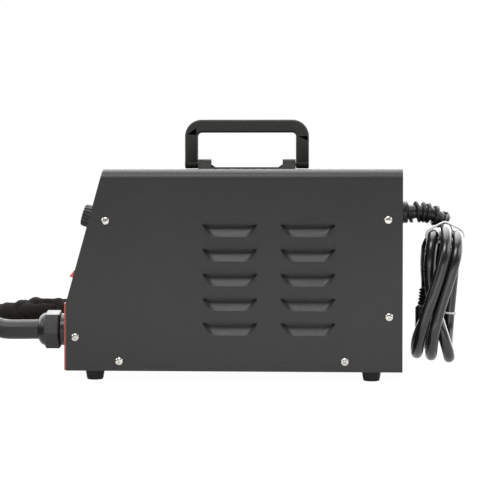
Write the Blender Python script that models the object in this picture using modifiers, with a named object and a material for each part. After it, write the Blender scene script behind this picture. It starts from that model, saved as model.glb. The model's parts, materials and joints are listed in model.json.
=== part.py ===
"""Portable plasma cutter: folded steel case, front and rear panels, folding handle, leads and innards.

Frame: metres, +Z up, origin on the floor under the middle of the case. The front panel faces -X and
the near side -Y. Every piece is one closed solid under its own name. The moving pieces have their
origins on their joints' axes: the carrying handle, the current knob, the power rocker, the fan rotor,
the torch trigger and the earth clamp's upper arm.
"""
import math

import bmesh
import bpy
from mathutils import Matrix, Vector

# ---- clearances ------------------------------------------------------------------------------------
GAP = 0.0003                   # between pieces that rest on each other or pass through each other
CUT = 0.004                    # how far a cutter runs past the face that it cuts

# ---- case ------------------------------------------------------------------------------------------
CASE_LENGTH = 0.374            # proud face of the front panel to the cover's rear edge
CASE_WIDTH = 0.155
CASE_HEIGHT = 0.2234           # underside to top
FOOT_HEIGHT = 0.0117
COVER_SHEET = 0.0012
COVER_BEND = 0.012             # outer radius along the two long top edges
FRONT_SLOPE = math.radians(15.6)
FRONT_LOWER_HEIGHT = 0.0751    # upright part of the front, below the slope
PANEL_PROUD = 0.0021           # lower face of the front panel ahead of the cover's edge
PANEL_RECESS = 0.0010          # sloped face behind the cover's edge, square to the slope
PANEL_WALL = 0.0025
FRONT_FLANGE = 0.028
REAR_SHEET = 0.0012
REAR_RECESS = 0.0015
REAR_FLANGE = 0.026
PAN_SHEET = 0.0012
PAN_WALL_HEIGHT = 0.020
FLANGE_START = 0.0215          # side flanges start this far above the underside

X_FRONT = -CASE_LENGTH / 2
X_REAR = CASE_LENGTH / 2
X_EDGE = X_FRONT + PANEL_PROUD
Y_SIDE = CASE_WIDTH / 2
Z_BASE = FOOT_HEIGHT
Z_TOP = FOOT_HEIGHT + CASE_HEIGHT
Z_BREAK = Z_BASE + FRONT_LOWER_HEIGHT
Y_INNER = Y_SIDE - COVER_SHEET - GAP
X_REAR_FACE = X_REAR - REAR_RECESS
X_REAR_INNER = X_REAR_FACE - REAR_SHEET
X_PAN_FRONT = X_FRONT + PANEL_WALL + GAP
X_PAN_REAR = X_REAR_INNER - GAP
Z_PAN_FLOOR = Z_BASE + PAN_SHEET

# ---- louvres, pressed inwards and open along their top edge -----------------------------------------
LOUVRE_COLUMNS = (X_REAR - 0.1899, X_REAR - 0.1039)     # middle of each column
LOUVRE_ROWS = 5
LOUVRE_TOP = 0.1740            # cut edge of the highest row
LOUVRE_PITCH = 0.0272
LOUVRE_WIDTH = 0.0606
LOUVRE_FLOOR_WIDTH = 0.040
LOUVRE_HEIGHT = 0.0138
LOUVRE_DEPTH = 0.0062
LOUVRE_CUT_STEP = 0.0002

# ---- cover screws ----------------------------------------------------------------------------------
SCREW_FROM_FRONT = ((0.0464, 0.1779), (0.0124, 0.0489), (0.0614, 0.0225))    # distance from that end, and Z
SCREW_FROM_REAR = ((0.0632, 0.0231), (0.0147, 0.0726), (0.0160, 0.1792))
SCREW_PLACES = (*((X_FRONT + inward, z) for inward, z in SCREW_FROM_FRONT),
                *((X_REAR - inward, z) for inward, z in SCREW_FROM_REAR))
SCREW_HEAD_DIAMETER = 0.0088
SCREW_HEAD_HEIGHT = 0.0024
SCREW_SHANK_DIAMETER = 0.0040
SCREW_LENGTH = 0.0075
SCREW_RECESS_WIDTH = 0.0046
SCREW_RECESS_DEPTH = 0.0013

# ---- feet ------------------------------------------------------------------------------------------
FOOT_X = (X_FRONT + 0.0317, X_REAR - 0.0337)
FOOT_Y = 0.055
FOOT_TOP_DIAMETER = 0.0212
FOOT_TIP_DIAMETER = 0.0180
FOOT_ROUNDING = 0.0016
FOOT_STUD_DIAMETER = 0.0064
FOOT_STUD_ABOVE = 0.0030

# ---- folding handle --------------------------------------------------------------------------------
HANDLE_X = 0.0120
HANDLE_SPAN = 0.1413
HANDLE_RISE = 0.0564           # top of the bar above the case
HANDLE_BAR = 0.0148            # width of bar and legs, seen from the side
HANDLE_THICKNESS = 0.0110
HANDLE_CORNER = 0.0190
HANDLE_EDGE = 0.0025
HINGE_RISE = 0.0062            # hinge axis above the case
LUG_LENGTH = 0.0146
LUG_DIAMETER = 0.0106
LUG_FLARE = 0.0060
HINGE_BASE_SHEET = 0.0020
HINGE_BASE_WIDTH = 0.0240
HINGE_PIN_DIAMETER = 0.0050

# ---- controls on the slope -------------------------------------------------------------------------
KNOB_UP = 0.0969               # distance up the slope from the break
KNOB_Y = -0.0340
KNOB_DIAMETER = 0.0265
KNOB_HEIGHT = 0.0130
KNOB_FLUTES = 18
KNOB_FLUTE_DIAMETER = 0.0026
KNOB_SKIRT_GAP = 0.0010        # air under the knob, which its shaft carries
KNOB_BORE_DEPTH = 0.0095
POT_SHAFT_DIAMETER = 0.0060
POT_BUSH_DIAMETER = 0.0070
POT_BODY_DIAMETER = 0.0170
POT_BODY_LENGTH = 0.0100
ROCKER_UP = 0.0386
ROCKER_Y = -0.0500
ROCKER_LENGTH = 0.0252
ROCKER_WIDTH = 0.0180
ROCKER_TILT = math.radians(12)         # either side of level
ROCKER_DISH = math.radians(11)         # each half of the face rises outwards
ROCKER_PIVOT_DEPTH = 0.0030            # axis behind the bezel's face
ROCKER_DROP = 0.0050
SWITCH_BEZEL_HEIGHT = 0.0020
SWITCH_BEZEL_LENGTH = 0.0310
SWITCH_BEZEL_WIDTH = 0.0240
SWITCH_BODY_LENGTH = 0.0284
SWITCH_BODY_WIDTH = 0.0214
SWITCH_BODY_DEPTH = 0.0220
SWITCH_WELL_DEPTH = 0.0125
LAMP_UP = 0.0969
LAMP_Y = (0.0160, 0.0360)
LAMP_DIAMETER = 0.0060
LAMP_FLANGE_DIAMETER = 0.0080
LAMP_BODY_LENGTH = 0.0120

# ---- earth lead: gland, lead, clamp ----------------------------------------------------------------
GLAND_Y = -0.0400
GLAND_Z = 0.0545
GLAND_COLLAR_LENGTH = 0.0083
GLAND_COLLAR_DIAMETER = 0.0360
GLAND_THREAD_DIAMETER = 0.0310
GLAND_NUT_FLATS = 0.0392
GLAND_NUT_LENGTH = 0.0172
GLAND_NUT_TURN = math.radians(21)      # one corner of the nut below level
GLAND_DOME_LENGTH = 0.0078
GLAND_DOME_DIAMETER = 0.0372
GLAND_TUBE_WALL = 0.0024
EARTH_LEAD_DIAMETER = 0.0220
EARTH_COIL_RADIUS = 0.1210
EARTH_COIL_TURNS = 2.0
CLAMP_LENGTH = 0.1500
CLAMP_THICKNESS = 0.0280
CLAMP_EAR = 0.0030
CLAMP_PIVOT_AT = 0.0760                # from the cable end of the clamp
CLAMP_PIN_DIAMETER = 0.0060
CLAMP_SPRING_WIRE = 0.0022
CLAMP_SPRING_CURLS = 3
CLAMP_SHEET = 0.0040

# ---- torch lead: collar, sleeved lead, torch -------------------------------------------------------
TORCH_Y = 0.0400
TORCH_Z = 0.0705
TORCH_COLLAR_LENGTH = 0.0090
TORCH_COLLAR_DIAMETER = 0.0310
TORCH_COLLAR_THREAD = 0.0240
TORCH_LEAD_DIAMETER = 0.0290
TORCH_COIL_RADIUS = 0.1480
COIL_MIDDLE = (X_FRONT - 0.2680, -0.1400)   # both coils, the earth lead's on top of the torch lead's
TORCH_COIL_TURNS = 3.0
TORCH_HANDLE_LENGTH = 0.1500
TORCH_HANDLE_DIAMETER = 0.0320
TORCH_HEAD_DIAMETER = 0.0200
TORCH_HEAD_REACH = 0.0450
TORCH_HEAD_BEND = 0.0240
TORCH_HEAD_ANGLE = math.radians(75)
TORCH_CUP_DIAMETER = 0.0230
TORCH_CUP_LENGTH = 0.0260
TRIGGER_LENGTH = 0.0420
TRIGGER_WIDTH = 0.0120
TRIGGER_PROUD = 0.0050
TRIGGER_TRAVEL = math.radians(5)

# ---- mains lead: strain relief, cord, hank, plug ---------------------------------------------------
MAINS_Z = 0.1865
MAINS_DIAMETER = 0.0127
RELIEF_COLLAR_LENGTH = 0.0090
RELIEF_DIAMETER = 0.0254
RELIEF_RIB = 0.0042
RELIEF_CURLS = 5
RELIEF_BORE_GAP = 0.0004
RELIEF_TIP_LENGTH = 0.0040
RELIEF_TAPER = 0.0012                  # the rib's turns get narrower towards the tip
HANK_MIDDLE_Y = -0.0220
HANK_BEND = 0.0380                     # 3 diameters of the cord
HANK_BOTTOMS = ((X_REAR + 0.0180, 0.0276), (X_REAR + 0.0337, 0.0261), (X_REAR + 0.0539, 0.0239))    # X, Z of each lower bend
HANK_TOPS = ((X_REAR + 0.0489, 0.1678), (X_REAR + 0.0623, 0.1611), (X_REAR + 0.0355, 0.1611))       # X, Z of each upper bend
HANK_BOWS = (0.0010, -0.0020, -0.0105)      # how far each near run bows to the rear
HANK_BEHIND = (0.0, 0.0068, 0.0225)         # how far each near run dives behind the first
HANK_ENTRY = (X_REAR + 0.0535, 0.0330, 0.1180)  # where the cord from the case joins the hank
PLUG_AT = (X_REAR + 0.0320, 0.0560, 0.0980)     # where the cord enters the plug
PLUG_BODY = (0.0260, 0.0260, 0.0340)
PLUG_RELIEF_LENGTH = 0.0200
PLUG_RELIEF_DIAMETER = 0.0170
PLUG_PIN_LENGTH = 0.0180
TIE_WIRE = 0.0024

# ---- innards ---------------------------------------------------------------------------------------
FAN_Z = 0.1030
FAN_SIZE = 0.0920
FAN_DEPTH = 0.0250
FAN_BORE = 0.0880
FAN_HUB = 0.0380
FAN_BLADES = 7
FAN_TIP_GAP = 0.0012
FAN_SHAFT = 0.0040
SINK_HALF_WIDTH = Y_SIDE - 0.0435
SINK_TOP = 0.1200
SINK_FIN_HEIGHT = 0.0420
SINK_FINS = 9
BOARD_X = (X_FRONT + 0.0970, X_REAR - 0.0690)
BOARD_HALF_WIDTH = Y_SIDE - 0.0195
BOARD_SHEET = 0.0016
TRANSFORMER_X = (X_FRONT + 0.0620, X_FRONT + 0.1320)
SINK_X = (TRANSFORMER_X[1] + 0.0250, X_REAR - 0.0870)
TRANSFORMER_HALF_WIDTH = 0.0350
TRANSFORMER_HEIGHT = 0.0560
VALVE_Y = Y_SIDE - 0.0175
VALVE_Z = 0.0460

# ---- collections and materials ---------------------------------------------------------------------
for stale in list(bpy.data.objects):
    bpy.data.objects.remove(stale, do_unlink=True)

PARTS = bpy.data.collections.new("plasma_cutter")
TOOLS = bpy.data.collections.new("cutters")
for collection in (PARTS, TOOLS):
    bpy.context.scene.collection.children.link(collection)


def paint(name, colour, roughness, metallic=0.0):
    """Principled material with one colour."""
    made = bpy.data.materials.new(name)
    made.use_nodes = True
    shader = made.node_tree.nodes["Principled BSDF"]
    shader.inputs["Base Color"].default_value = (*colour, 1.0)
    shader.inputs["Roughness"].default_value = roughness
    shader.inputs["Metallic"].default_value = metallic
    return made


POWDER_COAT = paint("powder_coat", (0.045, 0.043, 0.042), 0.55)
RED_PANEL = paint("red_panel", (0.55, 0.06, 0.035), 0.45)
BLACK_PLASTIC = paint("black_plastic", (0.022, 0.021, 0.020), 0.5)
NICKEL = paint("nickel", (0.75, 0.73, 0.70), 0.25, 1.0)
RUBBER = paint("rubber", (0.012, 0.012, 0.012), 0.7)
RED_LENS = paint("red_lens", (0.75, 0.02, 0.015), 0.3)
GLAND_NYLON = paint("gland_nylon", (0.05, 0.05, 0.055), 0.4)
LEAD_JACKET = paint("lead_jacket", (0.035, 0.034, 0.034), 0.5)
SLEEVE_CLOTH = paint("sleeve_cloth", (0.02, 0.019, 0.017), 0.9)
CORD_JACKET = paint("cord_jacket", (0.015, 0.015, 0.016), 0.3)
WHITE_TIE = paint("white_tie", (0.8, 0.8, 0.78), 0.5)
ALUMINIUM = paint("aluminium", (0.6, 0.6, 0.62), 0.4, 1.0)
BOARD_GREEN = paint("board_green", (0.02, 0.12, 0.05), 0.5)
CORE_IRON = paint("core_iron", (0.12, 0.11, 0.10), 0.6)
BRASS = paint("brass", (0.65, 0.48, 0.2), 0.35, 1.0)
CERAMIC = paint("ceramic", (0.75, 0.45, 0.38), 0.6)
ZINC_STEEL = paint("zinc_steel", (0.55, 0.55, 0.56), 0.35, 1.0)


# ---- modelling helpers -----------------------------------------------------------------------------
def place(name, mesh, frame, material, collection=PARTS):
    """Object that holds a mesh in the given frame."""
    piece = bpy.data.objects.new(name, mesh)
    piece.matrix_world = frame
    piece.data.materials.clear()
    if material is not None:
        piece.data.materials.append(material)
    collection.objects.link(piece)
    return piece


def from_bmesh(name, shape, frame, material, outward=False):
    """Object from a bmesh, which is freed."""
    if outward:
        bmesh.ops.recalc_face_normals(shape, faces=shape.faces)
    mesh = bpy.data.meshes.new(name)
    shape.to_mesh(mesh)
    shape.free()
    return place(name, mesh, frame, material)


def frame_at(origin, along, side=(0.0, 1.0, 0.0)):
    """Frame with local Z along one direction and local Y near another."""
    z_axis = Vector(along).normalized()
    x_axis = Vector(side).cross(z_axis).normalized()
    y_axis = z_axis.cross(x_axis)
    turn = Matrix((x_axis, y_axis, z_axis)).transposed().to_4x4()
    return Matrix.Translation(Vector(origin)) @ turn


SIDE_PLANE = Matrix(((1, 0, 0, 0), (0, 0, -1, 0), (0, 1, 0, 0), (0, 0, 0, 1)))    # outline X, Z; along -Y
CROSS_PLANE = Matrix(((0, 0, 1, 0), (1, 0, 0, 0), (0, 1, 0, 0), (0, 0, 0, 1)))    # outline Y, Z; along X


def bake(piece):
    """Replace an object's mesh by its evaluated one, with its modifiers applied."""
    bpy.context.view_layer.update()
    result = piece.evaluated_get(bpy.context.evaluated_depsgraph_get())
    mesh = bpy.data.meshes.new_from_object(result)
    piece.modifiers.clear()
    piece.data = mesh
    return piece


def block(name, low, high, material, rounding=0.0, segments=2, frame=None):
    """Box between two corners, with all its edges rounded if asked."""
    low, high = Vector(low), Vector(high)
    shape = bmesh.new()
    size = high - low
    bmesh.ops.create_cube(shape, size=1.0, matrix=Matrix.Diagonal((*size, 1.0)))
    if rounding:
        bmesh.ops.bevel(shape, geom=shape.edges[:], offset=rounding, segments=segments,
                        profile=0.5, affect="EDGES")
    bmesh.ops.translate(shape, verts=shape.verts, vec=(low + high) / 2)
    return from_bmesh(name, shape, frame or Matrix.Identity(4), material)


def rod(name, start, end, radius, sides, material, tip_radius=None, turn=0.0):
    """Cylinder or cone between two points."""
    start, end = Vector(start), Vector(end)
    shape = bmesh.new()
    bmesh.ops.create_cone(shape, cap_ends=True, segments=sides, radius1=radius,
                          radius2=radius if tip_radius is None else tip_radius, depth=(end - start).length)
    side = (0.0, 1.0, 0.0) if abs((end - start).normalized().y) < 0.9 else (1.0, 0.0, 0.0)
    frame = frame_at((start + end) / 2, end - start, side)
    return from_bmesh(name, shape, frame @ Matrix.Rotation(turn, 4, "Z"), material)


def turned(name, profile, sides, frame, material, ring=False):
    """Solid of revolution about the frame's Z from (radius, height) points, top to bottom."""
    mesh = bpy.data.meshes.new(name)
    points = [(radius, 0.0, height) for radius, height in profile]
    edges = [(i, i + 1) for i in range(len(points) - 1)]
    if ring:
        edges.append((len(points) - 1, 0))
    mesh.from_pydata(points, edges, [])
    piece = place(name, mesh, frame, material)
    screw = piece.modifiers.new("turn", "SCREW")
    screw.steps = sides
    screw.render_steps = sides
    screw.use_merge_vertices = True
    screw.merge_threshold = 0.00001
    bake(piece)
    shape = bmesh.new()
    shape.from_mesh(piece.data)
    bmesh.ops.recalc_face_normals(shape, faces=shape.faces)
    shape.to_mesh(piece.data)
    shape.free()
    return piece


def sheet(name, outlines, low, high, plane, material):
    """Flat outline, with holes if more than one is given, between two heights along the plane's normal."""
    curve = bpy.data.curves.new(name, "CURVE")
    curve.dimensions = "2D"
    curve.fill_mode = "BOTH"
    curve.extrude = (high - low) / 2
    for outline in outlines:
        spline = curve.splines.new("POLY")
        spline.points.add(len(outline) - 1)
        for point, (across, up) in zip(spline.points, outline):
            point.co = (across, up, 0.0, 1.0)
        spline.use_cyclic_u = True
    guide = bpy.data.objects.new(name, curve)
    TOOLS.objects.link(guide)
    return solid_from_curve(name, guide, plane @ Matrix.Translation((0, 0, (low + high) / 2)), material)


def solid_from_curve(name, guide, frame, material):
    """Closed mesh object from a curve object, which is removed."""
    bpy.context.view_layer.update()
    result = guide.evaluated_get(bpy.context.evaluated_depsgraph_get())
    mesh = bpy.data.meshes.new_from_object(result)
    shape = bmesh.new()
    shape.from_mesh(mesh)
    bmesh.ops.remove_doubles(shape, verts=shape.verts, dist=0.000002)
    bmesh.ops.recalc_face_normals(shape, faces=shape.faces)
    shape.to_mesh(mesh)
    shape.free()
    bpy.data.objects.remove(guide, do_unlink=True)
    return place(name, mesh, frame, material)


def tube(name, points, radius, material, resolution=2, closed=False):
    """Round tube along points, with flat ends."""
    curve = bpy.data.curves.new(name, "CURVE")
    curve.dimensions = "3D"
    curve.bevel_depth = radius
    curve.bevel_resolution = resolution
    curve.use_fill_caps = not closed
    spline = curve.splines.new("POLY")
    spline.points.add(len(points) - 1)
    for target, point in zip(spline.points, points):
        target.co = (*point, 1.0)
    spline.use_cyclic_u = closed
    guide = bpy.data.objects.new(name, curve)
    TOOLS.objects.link(guide)
    return solid_from_curve(name, guide, Matrix.Identity(4), material)


def merged(pieces):
    """One tool object from several that don't touch each other, which are removed."""
    shape = bmesh.new()
    for piece in pieces:
        part = bmesh.new()
        part.from_mesh(piece.data)
        bmesh.ops.transform(part, matrix=piece.matrix_world, verts=part.verts)
        scratch = bpy.data.meshes.new("scratch")
        part.to_mesh(scratch)
        part.free()
        shape.from_mesh(scratch)
        bpy.data.meshes.remove(scratch)
        bpy.data.objects.remove(piece, do_unlink=True)
    mesh = bpy.data.meshes.new("tool")
    shape.to_mesh(mesh)
    shape.free()
    tool = place("tool", mesh, Matrix.Identity(4), None, TOOLS)
    tool.hide_render = True
    tool.display_type = "WIRE"
    return tool


def combine(piece, tools, operation):
    """Boolean of a piece with tools that don't touch each other."""
    tool = merged(tools)
    boolean = piece.modifiers.new("join", "BOOLEAN")
    boolean.operation = operation
    boolean.solver = "EXACT"
    boolean.object = tool
    bake(piece)
    bpy.data.objects.remove(tool, do_unlink=True)
    return piece


def cut(piece, *tools):
    """Take tools away from a piece."""
    return combine(piece, tools, "DIFFERENCE")


def fuse(piece, *tools):
    """Join overlapping tools to a piece one after another."""
    for tool in tools:
        combine(piece, [tool], "UNION")
    return piece


def set_origin(piece, point):
    """Move an object's origin to a point in the world and leave its shape where it is."""
    shift = piece.matrix_world.inverted() @ Vector(point)
    piece.data.transform(Matrix.Translation(-shift))
    piece.matrix_world = piece.matrix_world @ Matrix.Translation(shift)
    return piece


def soften(piece, angle=35):
    """Smooth shading with sharp edges past an angle."""
    piece.data.shade_smooth()
    piece.data.set_sharp_from_angle(angle=math.radians(angle))
    return piece


def arc(centre, radius, start, end, count):
    """Points of an arc in degrees, both ends included."""
    steps = [start + (end - start) * i / (count - 1) for i in range(count)]
    return [(centre[0] + radius * math.cos(math.radians(a)),
             centre[1] + radius * math.sin(math.radians(a))) for a in steps]


def smooth_route(knots, spacing):
    """Points at even spacing along a smooth curve through chosen points; its two end stretches are straight."""
    knots = [Vector(knot) for knot in knots]
    whole = [knots[0], *smooth_middle(knots, spacing), knots[-1]]
    return whole


def smooth_middle(padded, spacing):
    """Points at even spacing from the second of the chosen points to the last but one."""
    knots = padded[1:-1]
    dense = []
    for before, start, end, after in zip(padded, padded[1:], padded[2:], padded[3:]):
        for i in range(24):
            t = i / 24
            dense.append(0.5 * (2 * start + (end - before) * t
                                + (2 * before - 5 * start + 4 * end - after) * t * t
                                + (3 * start - before - 3 * end + after) * t ** 3))
    dense.append(knots[-1])
    lengths = [0.0]
    for one, other in zip(dense, dense[1:]):
        lengths.append(lengths[-1] + (other - one).length)
    count = max(2, round(lengths[-1] / spacing))
    points = []
    index = 0
    for i in range(count + 1):
        wanted = lengths[-1] * i / count
        while index < len(lengths) - 2 and lengths[index + 1] < wanted:
            index += 1
        share = (wanted - lengths[index]) / (lengths[index + 1] - lengths[index])
        points.append(dense[index].lerp(dense[index + 1], min(1.0, share)))
    return points


def path_length(points):
    """Length of a path."""
    return sum((other - one).length for one, other in zip(points, points[1:]))


def least_self_gap(points, diameter, clear_of):
    """Least distance between a tube's walls at points that lie further apart along it than given."""
    along = [0.0]
    for one, other in zip(points, points[1:]):
        along.append(along[-1] + (other - one).length)
    least = math.inf
    for i, one in enumerate(points):
        for j in range(i + 1, len(points)):
            if along[j] - along[i] > clear_of:
                least = min(least, (points[j] - one).length - diameter)
    return least


def coil_points(centre, radius, diameter, turns, start, turning, count=24, lift=0.0):
    """Round coil on the floor in two layers: it spirals in, climbs a layer and spirals out again."""
    step = diameter + 0.0012
    half = turns / 2
    points = []
    total = round(turns * count)
    for i in range(total + 1):
        turn = i / count
        reach = radius + step * (abs(turn - half) - half / 2)
        climb = min(1.0, max(0.0, (turn - half + 0.25) / 0.5))
        height = diameter / 2 + step * climb * climb * (3 - 2 * climb) + FLOOR_GAP + lift
        angle = start + turning * math.tau * turn
        points.append(Vector((centre[0] + reach * math.cos(angle), centre[1] + reach * math.sin(angle), height)))
    return points


def straight_ends(points, length):
    """Path whose two ends run on straight for a length."""
    head = (points[0] - points[1]).normalized() * length
    tail = (points[-1] - points[-2]).normalized() * length
    return [points[0] + head, *points, points[-1] + tail]


FLOOR_GAP = 0.0002


def flat(vector):
    """Unit vector without its height."""
    return Vector((vector[0], vector[1], 0.0)).normalized()


# ---- cover -----------------------------------------------------------------------------------------
def edge_x(z):
    """X of the cover's front edge at a height."""
    return X_EDGE + max(0.0, z - Z_BREAK) * math.tan(FRONT_SLOPE)


def slope_x(z, depth=0.0):
    """X of the front panel's sloped face at a height, or of a surface behind it."""
    return edge_x(z) + (PANEL_RECESS + depth) / math.cos(FRONT_SLOPE)


def u_outline(half, top, bend, bottom, steps=5):
    """Points of an inverted U, from its near foot over the top to its far foot."""
    return [(-half, bottom), *arc((-half + bend, top - bend), bend, 180, 90, steps),
            *arc((half - bend, top - bend), bend, 90, 0, steps), (half, bottom)]


def louvre(name, wall_y, side, x, z, grow):
    """Half pillow behind a cut edge: its outlines narrow as they go in."""
    depth = LOUVRE_DEPTH + grow
    floor = LOUVRE_HEIGHT + grow
    top = z - (LOUVRE_CUT_STEP if grow else 0.0)
    shape = bmesh.new()
    mouth = (COVER_SHEET / 2, 1.0, 1.0) if grow else (-0.0006, 1.012, 1.05)
    levels = (mouth, (depth * 0.62, 0.90, 0.66), (depth, 0.80, 0.26))
    rings = []
    for inward, width, height in levels:
        half = (LOUVRE_WIDTH / 2 + grow) * width
        floor_half = (LOUVRE_FLOOR_WIDTH / 2 + grow) * width
        drop = floor * height
        outline = [(-half, 0.0), (-half * 0.86 - floor_half * 0.06, -drop * 0.45), (-floor_half * 1.06, -drop * 0.90),
                   (-floor_half * 0.80, -drop), (floor_half * 0.80, -drop), (floor_half * 1.06, -drop * 0.90),
                   (half * 0.86 + floor_half * 0.06, -drop * 0.45), (half, 0.0)]
        rings.append([shape.verts.new((x + across, wall_y - side * inward, top + up)) for across, up in outline])
    for near, far in zip(rings, rings[1:]):
        for i in range(len(near)):
            j = (i + 1) % len(near)
            shape.faces.new((near[i], near[j], far[j], far[i]))
    shape.faces.new(rings[0])
    shape.faces.new(rings[-1])
    return from_bmesh(name, shape, Matrix.Identity(4), None, outward=True)


def louvre_places():
    """Side, X and Z of each louvre."""
    return [(side, x, LOUVRE_TOP - row * LOUVRE_PITCH)
            for side in (-1, 1) for x in LOUVRE_COLUMNS for row in range(LOUVRE_ROWS)]


def make_cover():
    """Folded steel sheet over top and sides, with louvres and screw holes."""
    bottom = Z_BASE
    outer = u_outline(Y_SIDE, Z_TOP, COVER_BEND, bottom)
    inner = u_outline(Y_SIDE - COVER_SHEET, Z_TOP - COVER_SHEET, COVER_BEND - COVER_SHEET, bottom)
    cover = sheet("cover", [outer + inner[::-1]], X_EDGE - CUT, X_REAR, CROSS_PLANE, POWDER_COAT)
    past = Z_TOP + CUT
    front = [(X_EDGE - 3 * CUT, bottom - CUT), (X_EDGE, bottom - CUT), (X_EDGE, Z_BREAK),
             (edge_x(past), past), (X_EDGE - 3 * CUT, past)]
    cut(cover, sheet("front_cut", [front], -Y_SIDE - CUT, Y_SIDE + CUT, SIDE_PLANE, None))
    hoods = [louvre("hood", side * Y_SIDE, side, x, z, COVER_SHEET) for side, x, z in louvre_places()]
    combine(cover, hoods, "UNION")
    cut(cover, *[louvre("void", side * Y_SIDE, side, x, z, 0.0) for side, x, z in louvre_places()])
    hole = SCREW_SHANK_DIAMETER / 2 + GAP
    cut(cover, *[rod("hole", (x, -Y_SIDE - CUT, z), (x, Y_SIDE + CUT, z), hole, 12, None)
                 for x, z in SCREW_PLACES])
    return soften(cover, 30)


def make_screws():
    """Twelve pan head screws, each with a cross recess."""
    across = SCREW_RECESS_WIDTH / 2
    slot = SCREW_RECESS_WIDTH / 8
    for side, side_name in ((-1, "near"), (1, "far")):
        for number, (x, z) in enumerate(SCREW_PLACES, 1):
            head = SCREW_HEAD_DIAMETER / 2
            profile = [(0.0, SCREW_HEAD_HEIGHT), (head * 0.70, SCREW_HEAD_HEIGHT * 0.85), (head, 0.0),
                       (SCREW_SHANK_DIAMETER / 2, 0.0), (SCREW_SHANK_DIAMETER / 2, -SCREW_LENGTH),
                       (0.0, -SCREW_LENGTH)]
            frame = frame_at((x, side * (Y_SIDE + GAP), z), (0.0, side, 0.0), (0.0, 0.0, 1.0))
            screw = turned(f"cover_screw_{side_name}_{number}", profile, 10, frame, NICKEL)
            floor = SCREW_HEAD_HEIGHT - SCREW_RECESS_DEPTH
            roof = SCREW_HEAD_HEIGHT + CUT
            plus = [(across, -slot), (across, slot), (slot, slot), (slot, across), (-slot, across), (-slot, slot),
                    (-across, slot), (-across, -slot), (-slot, -slot), (-slot, -across), (slot, -across), (slot, -slot)]
            cut(screw, sheet("cross", [plus], floor, roof, frame @ Matrix.Rotation(math.radians(40), 4, "Z"), None))
            soften(screw)


# ---- base pan, panels and feet ---------------------------------------------------------------------
def make_base_pan():
    """Steel tray with four low walls, behind the cover's sides and between the panels."""
    top = Z_BASE + PAN_WALL_HEIGHT
    pan = block("base_pan", (X_PAN_FRONT, -Y_INNER, Z_BASE), (X_PAN_REAR, Y_INNER, top), POWDER_COAT)
    cut(pan, block("inside", (X_PAN_FRONT + PAN_SHEET, -Y_INNER + PAN_SHEET, Z_PAN_FLOOR),
                   (X_PAN_REAR - PAN_SHEET, Y_INNER - PAN_SHEET, top + CUT), None))
    tools = []
    for x in FOOT_X:
        for y in (-FOOT_Y, FOOT_Y):
            tools.append(rod("hole", (x, y, Z_BASE - CUT), (x, y, Z_PAN_FLOOR + 0.001),
                             FOOT_STUD_DIAMETER / 2 + GAP, 12, None))
    for x, z in SCREW_PLACES:
        if z < top:
            tools.append(rod("hole", (x, -Y_SIDE, z), (x, Y_SIDE, z), SCREW_SHANK_DIAMETER / 2 + GAP, 12, None))
    return cut(pan, *tools)


def panel_frame(up, y, out=0.0):
    """Frame on the sloped face: local Z outwards, local Y up the slope, local X towards the near side."""
    normal = Vector((-math.cos(FRONT_SLOPE), 0.0, math.sin(FRONT_SLOPE)))
    upward = Vector((math.sin(FRONT_SLOPE), 0.0, math.cos(FRONT_SLOPE)))
    z = Z_BREAK + up * math.cos(FRONT_SLOPE)
    origin = Vector((slope_x(z), y, z)) + normal * out
    turn = Matrix((Vector((0.0, -1.0, 0.0)), upward, normal)).transposed().to_4x4()
    return Matrix.Translation(origin) @ turn


def along(frame, x, y, z):
    """World point of a place in a frame."""
    return frame @ Vector((x, y, z))


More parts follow.
